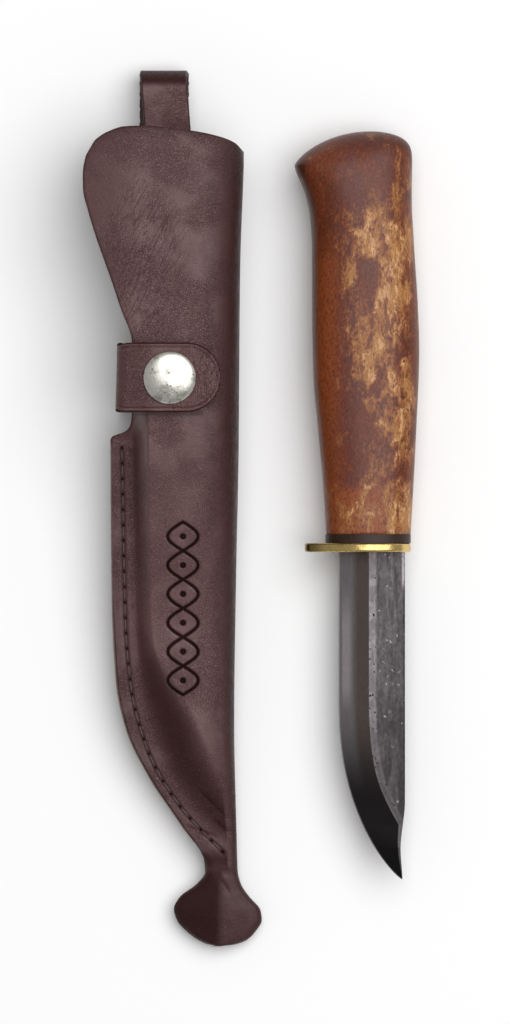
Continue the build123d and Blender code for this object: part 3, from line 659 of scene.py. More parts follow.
def plain_material(name, colour, rough, grain=1.2, depth=0.05, **sockets):
    """A dull solid with a little unevenness in colour and surface."""
    n = Nodes(name)
    uneven = n.noise(n.place(), grain, 5.0, 0.6)
    ground = n.mix(n.span(uneven, 0.3, 0.7), tuple(c * 0.65 for c in colour), colour)
    return n.finish(ground, n.span(uneven, 0.3, 0.7, rough * 0.85, min(1, rough * 1.15)),
                    n.bump(uneven, depth, 0.4), **sockets)


# ------------------------------------------------------------------ the sheath
def half_thickness(y):
    blade = TOE_HALF + (BLADE_HALF - TOE_HALF) * smooth((y + 100) / 42)
    return blade + (POCKET_HALF - BLADE_HALF) * smooth((y + 45) / 75)


def fold_width(y):
    return 3.0 + 2.5 * smooth((y + 100) / 42) + 3.5 * smooth((y + 45) / 75)


def stitch_x(y):
    return through(STITCH_X, y)


def sheath_height(x, y):
    """Half thickness of the sheath at (x, y), left of its fold."""
    plateau = half_thickness(y)
    foot = stitch_x(y) + SEAM_LAND
    flank = 5.0 + 11.0 * smooth((-35 - y) / 40)
    sewn = FLANGE_HALF + np.maximum(plateau - FLANGE_HALF, 0) * smooth((x - foot) / flank)
    free = plateau - 0.055 * np.maximum(-33 - x, 0) ** 1.5
    return sewn + (free - sewn) * smooth((y - 19) / 15)


def ornament_lines():
    """A plain twist of two crossing strands with a dot in each eye, as on any tooled belt."""
    along = np.linspace(-1, 1, 900)
    swing = ORNAMENT_REACH * np.sin(pi * ORNAMENT_EYES / 2 * (along + 1))
    strands = [np.stack([side * swing, ORNAMENT_HALF * along], -1) for side in (1, -1)]
    turn = np.linspace(0, 2 * pi, 24)
    dot = ORNAMENT_DOT * np.stack([np.cos(turn), np.sin(turn)], -1)
    middles = ORNAMENT_HALF * ((2 * np.arange(ORNAMENT_EYES) + 1) / ORNAMENT_EYES - 1)
    dots = [dot + (0, middle) for middle in middles]
    return np.concatenate([*strands, *dots]) + (ORNAMENT_X, ORNAMENT_Y)


def nearest(points, others):
    """Distance in the plane from each point to the nearest of the others."""
    tree = KDTree(len(others))
    for k, (x, y) in enumerate(others):
        tree.insert((x, y, 0), k)
    tree.balance()
    return np.array([tree.find((x, y, 0))[2] for x, y in points])


def sheath_rows():
    """Y of each row of points: close together at the toe, the notch and the ornament."""
    toe = TOE_Y + (NECK_Y - TOE_Y) * (1 - np.cos(np.linspace(0, pi / 2, 40)))
    spans = [(NECK_Y, -57, 110), (-57, -1, 230), (-1, 19.4, 46), (19.4, 27, 30), (27, 80, 44),
             (80, RIM_Y, 34)]
    rest = [np.linspace(a, b, k, endpoint=False) for a, b, k in spans]
    return np.concatenate([toe[:-1], *rest, [RIM_Y]])


def front_columns():
    """Share of the way from the left edge to the fold, closer at the seam and the ornament."""
    spans = [(0, 0.26, 26), (0.26, 0.34, 5), (0.34, 0.86, 76), (0.86, 1.0, 9)]
    return np.concatenate([*(np.linspace(a, b, k, endpoint=False) for a, b, k in spans), [1.0]])


def panel(rows, columns):
    """Where the points of a panel lie, seen from above, in rows from its left edge to the fold."""
    y = np.repeat(rows[:, None], len(columns), 1)
    reach = smooth((rows - 66) / (RIM_Y - 66))[:, None]
    for _ in range(5):
        start = through(FOLD_X, y) - fold_width(y)
        left = through(LEFT_X, y)
        x = left + (start - left) * columns[None, :]
        y = rows[:, None] + (through(RIM, x) - RIM_Y) * reach
    return x, y


def crease(x, y, a, b, width):
    """1 on the line from a to b, fading across it and at its ends."""
    a, b = np.array(a), np.array(b)
    ahead = (b - a) / np.linalg.norm(b - a)
    along = ((x - a[0]) * ahead[0] + (y - a[1]) * ahead[1]) / np.linalg.norm(b - a)
    away = (x - a[0]) * ahead[1] - (y - a[1]) * ahead[0]
    return np.exp(-(away / width) ** 2) * smooth(along / 0.3) * smooth((1 - along) / 0.3)


TOE_CREASES = [((-16.0, -81.0), (-5.5, -91.5), 0.8), ((-11.5, -89.5), (-4.5, -96.5), 0.6),
               ((-19.5, -92.0), (-9.0, -95.5), 0.6), ((-13.5, -105.0), (-4.0, -106.2), 0.55),
               ((-10.5, -105.5), (-6.0, -112.0), 0.8)]


def toe_shape(x, y, height):
    """The toe is crowned along its middle, and the neck above it is puckered."""
    middle = -9.2 + 0.06 * (y + 106)
    span = 0.5 * (through(FOLD_X, y) - through(LEFT_X, y)) + 0.2
    away = np.clip(np.abs(x - middle) / span, 0, 1)
    crowned = height * (1.06 - 0.5 * away ** 1.5)
    shaped = height + (crowned - height) * smooth((NECK_Y - 1 - y) / 6)
    for a, b, width in TOE_CREASES:
        shaped = shaped - 0.55 * crease(x, y, a, b, width)
    return shaped


def skin_height(x, y):
    """Half thickness with the toe's own shape, rolled over at the toe's left edge."""
    height = toe_shape(x, y, sheath_height(x, y))
    inside = np.clip((x - through(LEFT_X, y)) / 3.0, 0, 1)
    rolled = height * np.sqrt(np.clip(1 - (1 - inside) ** 2.4, 0, 1))
    return height + (rolled - height) * smooth((-99 - y) / 4)


def zip_faces(first, first_at, second, second_at):
    """Triangles between two lines of points, stepping along whichever line is behind."""
    faces, a, b = [], 0, 0
    while a < len(first) - 1 or b < len(second) - 1:
        step_first = b == len(second) - 1 or (a < len(first) - 1 and first_at[a + 1] <= second_at[b + 1])
        if step_first:
            faces.append((first[a], first[a + 1], second[b]))
            a += 1
        else:
            faces.append((first[a], second[b + 1], second[b]))
            b += 1
    return faces


def make_leather_sheet(settings):
    """Outer and inner skins of the folded leather as one closed mesh, with its pressed ornament.

    Also gives, for each point, how dark it is painted, painted shade included, and how far it is from a
    pressed line.
    """
    rows, fine, coarse = sheath_rows(), front_columns(), np.linspace(0, 1, 22)
    turns = np.linspace(pi / 2, -pi / 2, 24)[1:-1]
    reach = smooth((rows - 66) / (RIM_Y - 66))[:, None]
    worn_edge = smooth((-22 - rows) / 15) * smooth((rows + 101) / 8)
    bevel = (0.35 * smooth((19.4 - rows) / 2) + 0.45 * worn_edge)[:, None]

    def fold(inset):
        edge_x, edge_y = (v[:, -1:] for v in panel(rows, coarse))
        height = skin_height(edge_x, edge_y) - inset
        fx = edge_x + (fold_width(edge_y) - inset) * np.cos(turns)[None, :]
        drop = (through(RIM, fx) - through(RIM, edge_x)) * reach
        return under_plan(fx, edge_y + drop, height * np.sin(turns)[None, :])

    def skin(columns, inset, side, pressed=0.0):
        x, y = panel(rows, columns)
        z = skin_height(x, y) - inset - pressed
        if inset == 0:
            x = x + bevel * np.clip(1 - columns / 0.012, 0, 1)[None, :]
        return under_plan(x, y, side * z)

    x, y = panel(rows, fine)
    places = np.stack([x.ravel(), y.ravel()], -1)
    line_gap = nearest(places, ornament_lines()).reshape(x.shape)
    holes = seam_points(settings.stitch_count)
    ahead = np.gradient(holes, axis=0)
    ahead /= np.linalg.norm(ahead, axis=1)[:, None]
    slots = np.concatenate([holes + ahead * shift for shift in (-0.45, -0.2, 0.05, 0.3)])
    hole_gap = nearest(places, slots).reshape(x.shape)
    sewn = smooth((18.5 - y) / 1.5) * smooth((y + 101) / 2)
    groove = np.exp(-((x - stitch_x(y)) / 0.7) ** 2) * sewn
    pressed = (settings.groove_depth * np.clip(1 - (line_gap / 0.6) ** 2, 0, 1)
               + 0.42 * groove + 0.5 * np.exp(-(hole_gap / 0.35) ** 2))
    outer = np.concatenate([skin(fine, 0, 1, pressed), fold(0), skin(coarse, 0, -1)[:, ::-1]], axis=1)
    inner = np.concatenate([skin(coarse, LEATHER, 1), fold(LEATHER), skin(coarse, LEATHER, -1)[:, ::-1]],
                           axis=1)
    closed = int(np.searchsorted(rows, -97.0))
    inner = inner[closed:]
    count, wide, narrow = len(rows), outer.shape[1], inner.shape[1]
    base = count * wide
    points = np.concatenate([outer.reshape(-1, 3), inner.reshape(-1, 3)])
    faces = grid_faces(count, wide, flip=True) + grid_faces(len(inner), narrow, base)

    def out(r, c):
        return r * wide + c

    def ins(r, c):
        return base + (r - closed) * narrow + c

    rim = []
    for r in range(closed, count - 1):
        rim.append((out(r + 1, 0), ins(r + 1, 0), ins(r, 0), out(r, 0)))
        rim.append((out(r, wide - 1), ins(r, narrow - 1), ins(r + 1, narrow - 1), out(r + 1, wide - 1)))
    outer_at = np.concatenate([fine, 1 + np.arange(1, 23) / 23, 2 + coarse])
    inner_at = np.concatenate([coarse, 1 + np.arange(1, 23) / 23, 2 + coarse])
    top_outer = [out(count - 1, c) for c in range(wide)]
    top_inner = [ins(count - 1, c) for c in range(narrow)]
    rim += [f[::-1] for f in zip_faces(top_inner, inner_at, top_outer, outer_at)]
    for r in range(closed):
        faces.append((out(r, 0), out(r + 1, 0), out(r + 1, wide - 1), out(r, wide - 1)))
    faces.append((out(closed, 0), out(closed, wide - 1), ins(closed, narrow - 1), ins(closed, 0)))
    last = narrow - 1
    for c in range(narrow // 2):
        quad = (ins(closed, c), ins(closed, last - c), ins(closed, last - c - 1), ins(closed, c + 1))
        faces.append(tuple(dict.fromkeys(quad)))
    half = len(fine) + 11
    front_end = [out(0, c) for c in range(half)]
    back_end = [out(0, c) for c in range(wide - 1, half - 1, -1)]
    faces += zip_faces(front_end, np.linspace(0, 1, len(front_end)),
                       back_end, np.linspace(0, 1, len(back_end)))

    dark = np.zeros((count, wide))
    first = len(fine)
    # darker within 0.9 mm of the free edges, and painted shade in the stitch groove and at the foot of the
    # slope above the land
    edge = np.clip(1 - np.minimum((x - through(LEFT_X, y)) / 0.9, (through(RIM, x) - y) / 0.9), 0, 1)
    foot = np.exp(-((x - stitch_x(y) - SEAM_LAND + 0.4) / 1.5) ** 2) * sewn
    dark[:, :first] = np.maximum.reduce([edge * 0.8, 0.55 * groove + 0.4 * foot, front_shade_and_darkening(x, y, sewn)])
    at_toe = smooth((NECK_Y - rows) / 3)[:, None]
    # painted shade on the fold as it turns down, and on the toe's fold
    turned = FOLD_SHADE + (0.85 - FOLD_SHADE) * smooth((1.35 - turns) / 0.8)[None, :]
    dark[:, first:first + len(turns)] = np.maximum(turned, 0.62 * at_toe)
    gap = np.full((count, wide), 3.0)
    gap[:, :first] = np.minimum(line_gap, hole_gap * 1.35)
    more = len(inner) * narrow
    return (points, faces, rim, np.concatenate([dark.ravel(), np.full(more, 0.3)]),
            np.concatenate([np.minimum(gap, 3.0).ravel(), np.full(more, 3.0)]))


def front_shade_and_darkening(x, y, sewn):
    """How dark the front is painted, from 0 to 1, beyond what the light gives it.

    It is darker on the seam's land and at the mouth. By the fold, on the slope above the seam, at the neck
    and on the toe's left half it is painted shade on sides that turn down; the line under the strap is a
    painted shadow.
    """
    from_seam = x - stitch_x(y)
    land = 0.34 * sewn * smooth((1.8 - from_seam) / 1.5)
    across = np.clip((from_seam - 1.5) / (4.0 + 12.0 * smooth((-30 - y) / 35)), 0, 1)
    slope = (4 * across * (1 - across)) ** 0.7 * sewn * (0.2 + 0.65 * smooth((-22 - y) / 35))
    to_fold = through(FOLD_X, y) - fold_width(y) - x
    # painted shade where the front turns down into the fold
    fold_shade = FOLD_SHADE * smooth((3 - to_fold) / 5)
    ridge = -9.0 + 0.5 * smooth((y + 116) / 10)
    toe = 0.55 + 0.42 * smooth((ridge + 1.5 - x) / 3.0)
    neck = np.exp(-((y + 102.0) / 4.5) ** 2) * 0.9
    low = smooth((-103.5 - y) / 2.5)
    # painted shadow under the strap's lower edge
    strap_shadow = 0.75 * np.exp(-((y - 27.6) / 0.7) ** 2) * smooth((x + 37.5) / 1.5) * smooth((-12.5 - x) / 2)
    mouth = 0.35 * smooth((4 - through(RIM, x) + y) / 4) * smooth((y - 90) / 5)
    shades = [land, slope * (1 - low), fold_shade, toe * low, neck, strap_shadow, mouth]
    return np.clip(np.maximum.reduce(shades), 0, 1)


def seam_points(count):
    """Evenly spaced holes along the seam, seen from above."""
    y = np.linspace(STITCH_X[0][0], STITCH_X[-1][0], 900)
    x = stitch_x(y)
    run = np.concatenate([[0], np.cumsum(np.hypot(np.diff(x), np.diff(y)))])
    even = np.linspace(0, run[-1], count + 1)
    return np.stack([np.interp(even, run, x), np.interp(even, run, y)], -1)


def stitch_bar(a, b, height_at, side, radius=0.36):
    """One stitch: it rises out of its hole, lies along the leather and goes down again."""
    share = np.linspace(0, 1, 13)
    line = a + (b - a) * (0.06 + 0.88 * share)[:, None]
    arch = radius * 0.55 - 1.1 * np.abs(2 * share - 1) ** 6
    z = side * (height_at(line[:, 0], line[:, 1]) + arch)
    centres = under_plan(line[:, 0], line[:, 1], z)
    radii = radius * (1 - 0.25 * np.abs(2 * share - 1) ** 4)
    return tube(centres, np.tile([0, 0, side], (len(share), 1)), radii, 12, 2, 2.4, 0.8)


def make_seam_stitches(count):
    holes = seam_points(count)
    parts = []
    for a, b in zip(holes, holes[1:]):
        parts.append(stitch_bar(a, b, lambda x, y: skin_height(x, y) - 0.42, 1))
        parts.append(stitch_bar(a, b, lambda x, y: skin_height(x, y) - 0.1, -1))
    return merged(parts)


# ------------------------------------------------------------------ straps
def rounded_path(corners, radii, step=0.5):
    """A line through corners in a plane, each turned with its own radius, in even short steps."""
    corners = [np.array(c, float) for c in corners]
    line = [corners[0]]
    for before, corner, after, radius in zip(corners, corners[1:], corners[2:], radii):
        back, ahead = before - corner, after - corner
        back, ahead = back / np.linalg.norm(back), ahead / np.linalg.norm(ahead)
        half = np.arccos(np.clip(np.dot(back, ahead), -1, 1)) / 2
        start, end = corner + back * radius / np.tan(half), corner + ahead * radius / np.tan(half)
        middle = corner + (back + ahead) / np.linalg.norm(back + ahead) * radius / np.sin(half)
        a, b = start - middle, end - middle
        sweep = np.arccos(np.clip(np.dot(a, b) / radius**2, -1, 1))
        for t in np.linspace(0, 1, 14):
            line.append(middle + (np.sin((1 - t) * sweep) * a + np.sin(t * sweep) * b) / np.sin(sweep))
    line.append(corners[-1])
    line = np.array(line)
    run = np.concatenate([[0], np.cumsum(np.linalg.norm(np.diff(line, axis=0), axis=1))])
    even = np.linspace(0, run[-1], int(run[-1] / step) + 1)
    return np.stack([np.interp(even, run, line[:, k]) for k in (0, 1)], -1)


def strap_skin(path, half_widths, thickness, to_3d, middles, line_depth=0.0, rim_gap=None):
    """A strip of leather along a path, with rounded edges and a line pressed inside them.

    Also gives how far each point is from the strip's outline.
    """
    ahead = np.gradient(path, axis=0)
    ahead /= np.linalg.norm(ahead, axis=1)[:, None]
    normal = np.stack([-ahead[:, 1], ahead[:, 0]], -1)
    half = thickness / 2
    turns = np.linspace(0.45, pi - 0.45, 7)
    points, gaps = [], []
    for k, at in enumerate(path):
        w = max(half_widths[k], 0.05)
        rim = min(0.5, w * 0.5)
        inward = (w - rim) * (1 - GAPS / 4.2 * min(1, 4.2 / (w - rim)))
        flat = np.concatenate([-inward, inward[-1] * np.linspace(-0.8, 0.8, 5), inward[::-1]])
        for across in flat:
            gap = rim_gap(at, across, w) if rim_gap else w - abs(across)
            sink = line_depth * np.exp(-((gap - 1.15) / 0.22) ** 2)
            points.append(to_3d(*(at + normal[k] * (half - sink)), across + middles[k]))
            gaps.append(gap)
        for a in turns:
            right_edge = middles[k] + (w - rim + rim * np.sin(a))
            points.append(to_3d(*(at + normal[k] * half * np.cos(a)), right_edge))
            gaps.append(0.2)
        for across in flat[::-1]:
            points.append(to_3d(*(at - normal[k] * half), across + middles[k]))
            gaps.append(3.0)
        for a in turns:
            left_edge = middles[k] - (w - rim + rim * np.sin(a))
            points.append(to_3d(*(at - normal[k] * half * np.cos(a)), left_edge))
            gaps.append(0.2)
    around = len(points) // len(path)
    faces = grid_faces(len(path), around, wrap=True)
    faces.append(tuple(range(around))[::-1])
    faces.append(tuple(range((len(path) - 1) * around, len(path) * around)))
    return np.array(points), faces, np.array(gaps), around


def loop_bottom(y):
    """In the sheath's frame, the middle of the loop's lower layer, flat on the table."""
    return -(LIFT + y * sin(TILT) - STRAP_THICK / 2) / cos(TILT)


def make_belt_loop():
    """One strip: down the back, folded over above the mouth, and back to the stitches."""
    on_back = -POCKET_HALF - STRAP_THICK / 2
    end = 125.7 - STRAP_THICK / 2
    path = rounded_path([(62.6, on_back), (77, on_back), (87, loop_bottom(87)), (end, loop_bottom(end)),
                         (end, on_back), (95.4, on_back)], [4, 4, 4.4, 4.4])
    run = np.concatenate([[0], np.cumsum(np.linalg.norm(np.diff(path, axis=0), axis=1))])
    turned_over = smooth((run - run[-1] + 36) / 6)
    back_to = np.clip((run - run[-1] + 30) / 16, 0, 1)
    ragged = 0.14 * np.sin(run * 2.9) * np.sin(run * 0.83 + 1) * (1 - turned_over)
    half_width = 7.1 - 0.4 * turned_over + ragged
    middles = -25.2 + turned_over * (-0.3 + 1.25 * back_to)

    def place(y, z, across):
        return in_sheath((across, y, z))

    points, faces, gaps, around = strap_skin(path, half_width, STRAP_THICK, place, middles)
    # painted shade where the strip turns up and over
    ahead = np.gradient(path, axis=0)
    facing_out = np.repeat(ahead[:, 1] / np.linalg.norm(ahead, axis=1), around)
    return points, faces, smooth(np.abs(facing_out) * 1.7) * 0.9, gaps


def make_strap():
    """One strip from its stitches on the back, round the open side, over the front to its round end."""
    under = -POCKET_HALF - STRAP_THICK / 2
    fold = STRAP_FOLD_X
    path = rounded_path([(-13.4, under), (fold, under), (fold, STRAP_Z), (STRAP_END_X, STRAP_Z)],
                        [3, 2.0], 0.42)
    radius = STRAP_WIDTH / 2
    widths = np.full(len(path), radius)
    upper = path[:, 1] > 0
    end_x = STRAP_END_X - radius
    past = np.maximum(path[:, 0] - end_x, 0)
    rounded = upper & (past > 0)
    widths[rounded] = np.sqrt(np.clip(radius**2 - past[rounded] ** 2, 0.01, None))
    at_fold = np.exp(-((path[:, 0] - fold) / 1.1) ** 2) * (path[:, 1] > STRAP_Z - 3)
    widths -= 0.7 * at_fold
    hidden = ~upper & (path[:, 0] > -16.4)
    widths[hidden] = radius - 0.5 * (path[hidden, 0] + 16.4)
    plan_y = STRAP_Y * cos(TILT) - STRAP_Z * sin(TILT)

    def place(x, z, across):
        dip = 0.0
        if z > STRAP_Z - 1.2 and x > SNAP_X:
            dip = 0.45 * smooth((np.hypot(x - SNAP_X, across) - CAP_RADIUS) / 9)
        lean = -0.3 * (across / radius) * smooth((z + 5) / 15) * (1 - smooth((x - fold) / 8))
        return under_plan(x + lean, plan_y - across, z - dip)

    def rim_gap(at, across, w):
        if at[1] > 0 and at[0] > end_x:
            return radius - np.hypot(at[0] - end_x, across)
        return w - abs(across)

    points, faces, gaps, _ = strap_skin(path, widths, STRAP_THICK, place, np.zeros(len(path)), 0.3, rim_gap)
    return points, faces, gaps


def make_back_stitches(corners, per_side, thickness):
    """Box of stitches seen on the outside of a strip on the sheath's back."""
    parts = []
    level = -POCKET_HALF - thickness
    for a, b in zip(corners, corners[1:]):
        marks = np.linspace(a, b, per_side + 1)
        for p, q in zip(marks, marks[1:]):
            share = np.linspace(0, 1, 11)
            line = p + (q - p) * (0.06 + 0.88 * share)[:, None]
            z = level - 0.25 + 0.9 * np.abs(2 * share - 1) ** 6
            centres = in_sheath(np.column_stack([line, z]))
            parts.append(tube(centres, np.tile([0, 0, -1], (11, 1)), 0.4, 10, 2, 2.4, 0.8))
    return merged(parts)


# ------------------------------------------------------------------ snap cap
def make_cap():
    """A domed cap turned about the snap's axis, with a rolled rim and shallow dents."""
    base = STRAP_Z + STRAP_THICK / 2
    share = np.linspace(0, 1, 22)
    dome = [(CAP_RADIUS * np.sin(s * pi / 2 * 0.96), base + 0.75 + 1.95 * np.cos(s * pi / 2) ** 1.1)
            for s in share]
    rim = [(CAP_RADIUS - 0.02, base + 0.5), (CAP_RADIUS - 0.1, base + 0.22), (CAP_RADIUS - 0.45, base + 0.03),
           (CAP_RADIUS - 1.2, base + 0.03), (CAP_POST, base + 0.03), (CAP_POST, base - STRAP_THICK - 0.55)]
    profile = np.array([*dome[1:], *rim])
    sides = 96
    turn = np.arange(sides) * 2 * pi / sides
    points = []
    for radius, z in profile:
        x, y = radius * np.cos(turn), radius * np.sin(turn)
        dent = sum(deep * np.exp(-((x - at_x) ** 2 + (y - at_y) ** 2) / wide)
                   for at_x, at_y, wide, deep in CAP_DENTS)
        flat = np.column_stack([SNAP_X + x, STRAP_Y + y, np.full(sides, z) - dent * (z > base + 0.6)])
        points.append(in_sheath(flat))
    crown = in_sheath([[SNAP_X, STRAP_Y, base + 2.7]])
    foot = in_sheath([[SNAP_X, STRAP_Y, base - STRAP_THICK - 0.55]])
    count = len(profile)
    points = np.concatenate([*points, crown, foot])
    faces = grid_faces(count, sides, wrap=True, flip=True)
    for c in range(sides):
        n = (c + 1) % sides
        faces.append((count * sides, c, n))
        faces.append((count * sides + 1, (count - 1) * sides + n, (count - 1) * sides + c))
    return points, faces


# ------------------------------------------------------------------ the knife
HANDLE_LEFT = [(-7.4, 21.7), (6.5, 20.85), (22.8, 19.35), (39, 18.0), (55, 17.66), (75, 17.6),
               (84, 17.1), (90, 15.9), (94.4, 14.3), (97.2, 13.05), (99.2, 12.5)]
HANDLE_RIGHT = [(-7.4, 46.2), (22.8, 47.8), (46, 48.66), (60, 48.2), (75.6, 47.2), (90, 46.5), (100, 46.6)]
HANDLE_HALF = [(-7.4, 9.5), (20, 10.1), (50, 10.8), (70, 10.5), (90, 11.3), (100, 11.4)]
DOME_START_Y = 99.2
DOME_HEIGHT = 10.0
DOME_TOP_X = 34.5
DOME_LEFT_X = 12.5
DOME_RIGHT_X = 46.6

# where the wood is lighter or darker, as listed: x, y, reach along x, reach along y, how much
FIGURE = [(38.0, 77.5, 8.0, 11.0, 0.20), (42.5, 61.0, 4.0, 12.0, 0.14), (28.0, 68.5, 2.6, 5.0, 0.15),
          (31.0, 51.5, 4.0, 4.5, 0.15), (37.5, 52.0, 4.0, 7.0, 0.10), (34.6, 38.0, 2.0, 3.2, 0.15),
          (41.0, 36.0, 3.0, 4.5, 0.18), (45.0, 30.0, 3.5, 6.0, 0.14), (40.0, 26.0, 3.0, 4.0, 0.10),
          (43.5, -1.0, 5.0, 8.0, 0.17), (41.8, 94.0, 1.6, 8.0, 0.15), (35.5, 10.0, 3.0, 4.0, 0.08),
          (34.0, 68.0, 3.6, 6.0, -0.24), (27.5, 13.5, 7.0, 5.5, -0.24), (30.0, 27.0, 6.0, 9.0, -0.12),
          (33.0, 99.0, 16.0, 10.0, -0.16), (48.6, 55.0, 2.6, 34.0, -0.20), (20.0, 50.0, 7.0, 60.0, -0.20),
          (26.5, 90.0, 3.0, 6.0, -0.25), (36.5, 44.0, 3.0, 5.0, 0.07), (34.5, 30.5, 2.6, 2.6, 0.10)]


def make_handle():
    """Oval and waisted, flared to a lip on the edge side, and domed at its end."""
    sides = 128
    turn = np.arange(sides) * 2 * pi / sides
    body = np.concatenate([[HANDLE_FRONT_Y, HANDLE_FRONT_Y + 0.3],
                           np.linspace(HANDLE_FRONT_Y + 1, DOME_START_Y, 160)])
    sections = [(y, through(HANDLE_LEFT, y), through(HANDLE_RIGHT, y)) for y in body]
    for s in np.linspace(0, pi / 2, 26)[1:-1]:
        rest = 1 - np.sin(s)
        left = DOME_TOP_X - (DOME_TOP_X - DOME_LEFT_X) * np.sqrt(1 - (1 - rest) ** (1 / 0.74))
        right = DOME_TOP_X + (DOME_RIGHT_X - DOME_TOP_X) * np.sqrt(1 - (1 - rest) ** (1 / 0.255))
        sections.append((DOME_START_Y + DOME_HEIGHT * np.sin(s), left, right))
    points = []
    power = 2 / 2.25
    swing_x = np.sign(np.cos(turn)) * np.abs(np.cos(turn)) ** power
    swing_z = np.sign(np.sin(turn)) * np.abs(np.sin(turn)) ** power
    for y, left, right in sections:
        rounding = np.clip((y - 91) / (DOME_START_Y + DOME_HEIGHT - 91), 0, 1)
        half = through(HANDLE_HALF, y) * np.sqrt(1 - rounding ** 2.3)
        ease = 0.25 if y == HANDLE_FRONT_Y else 0.0
        x = (left + right) / 2 + ((right - left) / 2 - ease) * swing_x
        z = KNIFE_MID_Z + (half - ease) * swing_z
        points.append(np.column_stack([x, np.full(sides, y), z]))
    count = len(points)
    crown = [[DOME_TOP_X, DOME_START_Y + DOME_HEIGHT, KNIFE_MID_Z]]
    front = [[34.0, HANDLE_FRONT_Y, KNIFE_MID_Z]]
    points = np.concatenate([*points, crown, front])
    faces = grid_faces(count, sides, wrap=True, flip=True)
    for c in range(sides):
        n = (c + 1) % sides
        faces.append((count * sides, (count - 1) * sides + c, (count - 1) * sides + n))
        faces.append((count * sides + 1, n, c))
    return points, faces


def figure_share(points):
    """How light the wood's figure is at each point, before its ragged grain."""
    share = np.zeros(len(points))
    for x, y, wide, long, much in FIGURE:
        share += much * smooth(1.35 - np.hypot((points[:, 0] - x) / wide, (points[:, 1] - y) / long))
    return share


def blade_edge(distance):
    s = np.clip((distance - BELLY_START) / (BLADE_LENGTH - BELLY_START), 0, 1)
    return BLADE_EDGE_X + (BLADE_TIP_X - BLADE_EDGE_X) * (1 - (1 - s**2.3) ** 0.83)


def blade_spine(distance):
    straight, clipped = BLADE_SPINE_X - 0.2, BLADE_TIP_X - 0.5
    clip = smooth((distance - CLIP_START) / 14)
    return straight + (clipped - straight) * clip + 0.52 * smooth((distance - 86) / 9)


def make_blade():
    """Forged blade: a flat, a worn shoulder, a wide ground bevel and a fine edge.

    Also gives, in millimetres, how far each point is from the edge and past the bevel's ridge.
    """
    belly = BELLY_START + (BLADE_LENGTH - 0.1 - BELLY_START) * np.linspace(0, 1, 130) ** 0.8
    stations = np.concatenate([np.linspace(0, BELLY_START, 60, endpoint=False), belly])
    bevel_shares = np.concatenate([[0, 0.03, 0.06], np.linspace(0.12, 1, 14)])
    flat_shares = np.concatenate([np.linspace(0.04, 0.96, 20), [1.0]])
    points, marks = [], []
    for d in stations:
        edge, spine = blade_edge(d), blade_spine(d)
        width = spine - edge
        ridge = min(8.8 + 2.4 * smooth((d - 62) / 26), width * 0.9)
        full = 1.5 * min(1.0, width / 7.5)
        across = np.concatenate([bevel_shares * ridge, ridge + (width - ridge) * flat_shares])
        rise = np.where(across <= ridge, 0.05 + (full * 0.9 - 0.05) * across / ridge,
                        full * (0.9 + 0.1 * smooth((across - ridge) / 2.0)))
        rise[-1] -= min(0.25, full * 0.3)
        y = np.full_like(across, GUARD_FRONT_Y - d)
        top = np.column_stack([edge + across, y, KNIFE_MID_Z + rise])
        bottom = np.column_stack([edge + across, y, KNIFE_MID_Z - rise])[::-1]
        points.append(np.concatenate([top, bottom]))
        gaps = np.column_stack([across, across - ridge])
        marks.append(np.concatenate([gaps, gaps[::-1]]))
    around = len(points[0])
    count = len(points)
    faces = grid_faces(count, around, wrap=True)
    faces.append(tuple(range(around))[::-1])
    faces.append(tuple(range((count - 1) * around, count * around)))
    return np.concatenate(points), faces, np.concatenate(marks)


# ------------------------------------------------------------------ operators
def sheath_settings(context):
    return context.scene.sheath_settings


def knife_settings(context):
    return context.scene.knife_settings


def repaint(nodes, material):
    """Gives carried-over CAD nodes a better material."""
    for name in nodes:
        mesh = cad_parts[name].data
        mesh.materials.clear()
        mesh.materials.append(material)


class OBJECT_OT_sheath_leather(bpy.types.Operator):
    """Builds the folded leather, with its ornament, and dresses the welt and the liner"""
    bl_idname = "object.sheath_leather"
    bl_label = "Sheath leather"

    def execute(self, context):
        settings = sheath_settings(context)
        points, faces, rim, dark, gaps = make_leather_sheet(settings)
        colour = tuple(settings.leather_colour)
        material = leather_material("sheath_leather", colour, HIDE_CREASED)
        cut_edge = edge_leather_material("cut_leather_edge", colour)
        obj = new_piece("sheath_hide", points, faces + rim, material, "sheath", ["sheath_leather"])
        obj.data.materials.append(cut_edge)
        obj.data.polygons.foreach_set("material_index", [0] * len(faces) + [1] * len(rim))
        point_values(obj, "shade_and_darkening", dark)
        point_values(obj, "line_gap", gaps)
        obj.data.set_sharp_from_angle(angle=radians(55))
        repaint(["welt"], cut_edge)
        repaint(["blade_liner"], plain_material("liner", (0.02, 0.019, 0.018), 0.55))
        return {"FINISHED"}


class OBJECT_OT_sheath_thread(bpy.types.Operator):
    """Sews the seam, the belt loop and the strap"""
    bl_idname = "object.sheath_thread"
    bl_label = "Thread"

    def execute(self, context):
        settings = sheath_settings(context)
        material = thread_material(tuple(settings.thread_colour))
        points, faces = make_seam_stitches(settings.stitch_count)
        new_piece("seam_stitching", points, faces, material, "sheath", ["seam_thread"])
        loop = [(-30.4, 75), (-30.4, 64), (-19.6, 64), (-19.6, 75)]
        points, faces = make_back_stitches(loop, 3, STRAP_THICK)
        new_piece("belt_loop_stitching", points, faces, material, "sheath", ["loop_stitches"])
        tail_y = STRAP_Y - (STRAP_Z + POCKET_HALF + STRAP_THICK / 2) * tan(TILT)
        low, high = tail_y - 8, tail_y + 8
        strap = [(-27, low), (-15, low), (-15, high), (-27, high)]
        points, faces = make_back_stitches(strap, 4, STRAP_THICK)
        new_piece("strap_stitching", points, faces, material, "sheath", ["strap_stitches"])
        return {"FINISHED"}


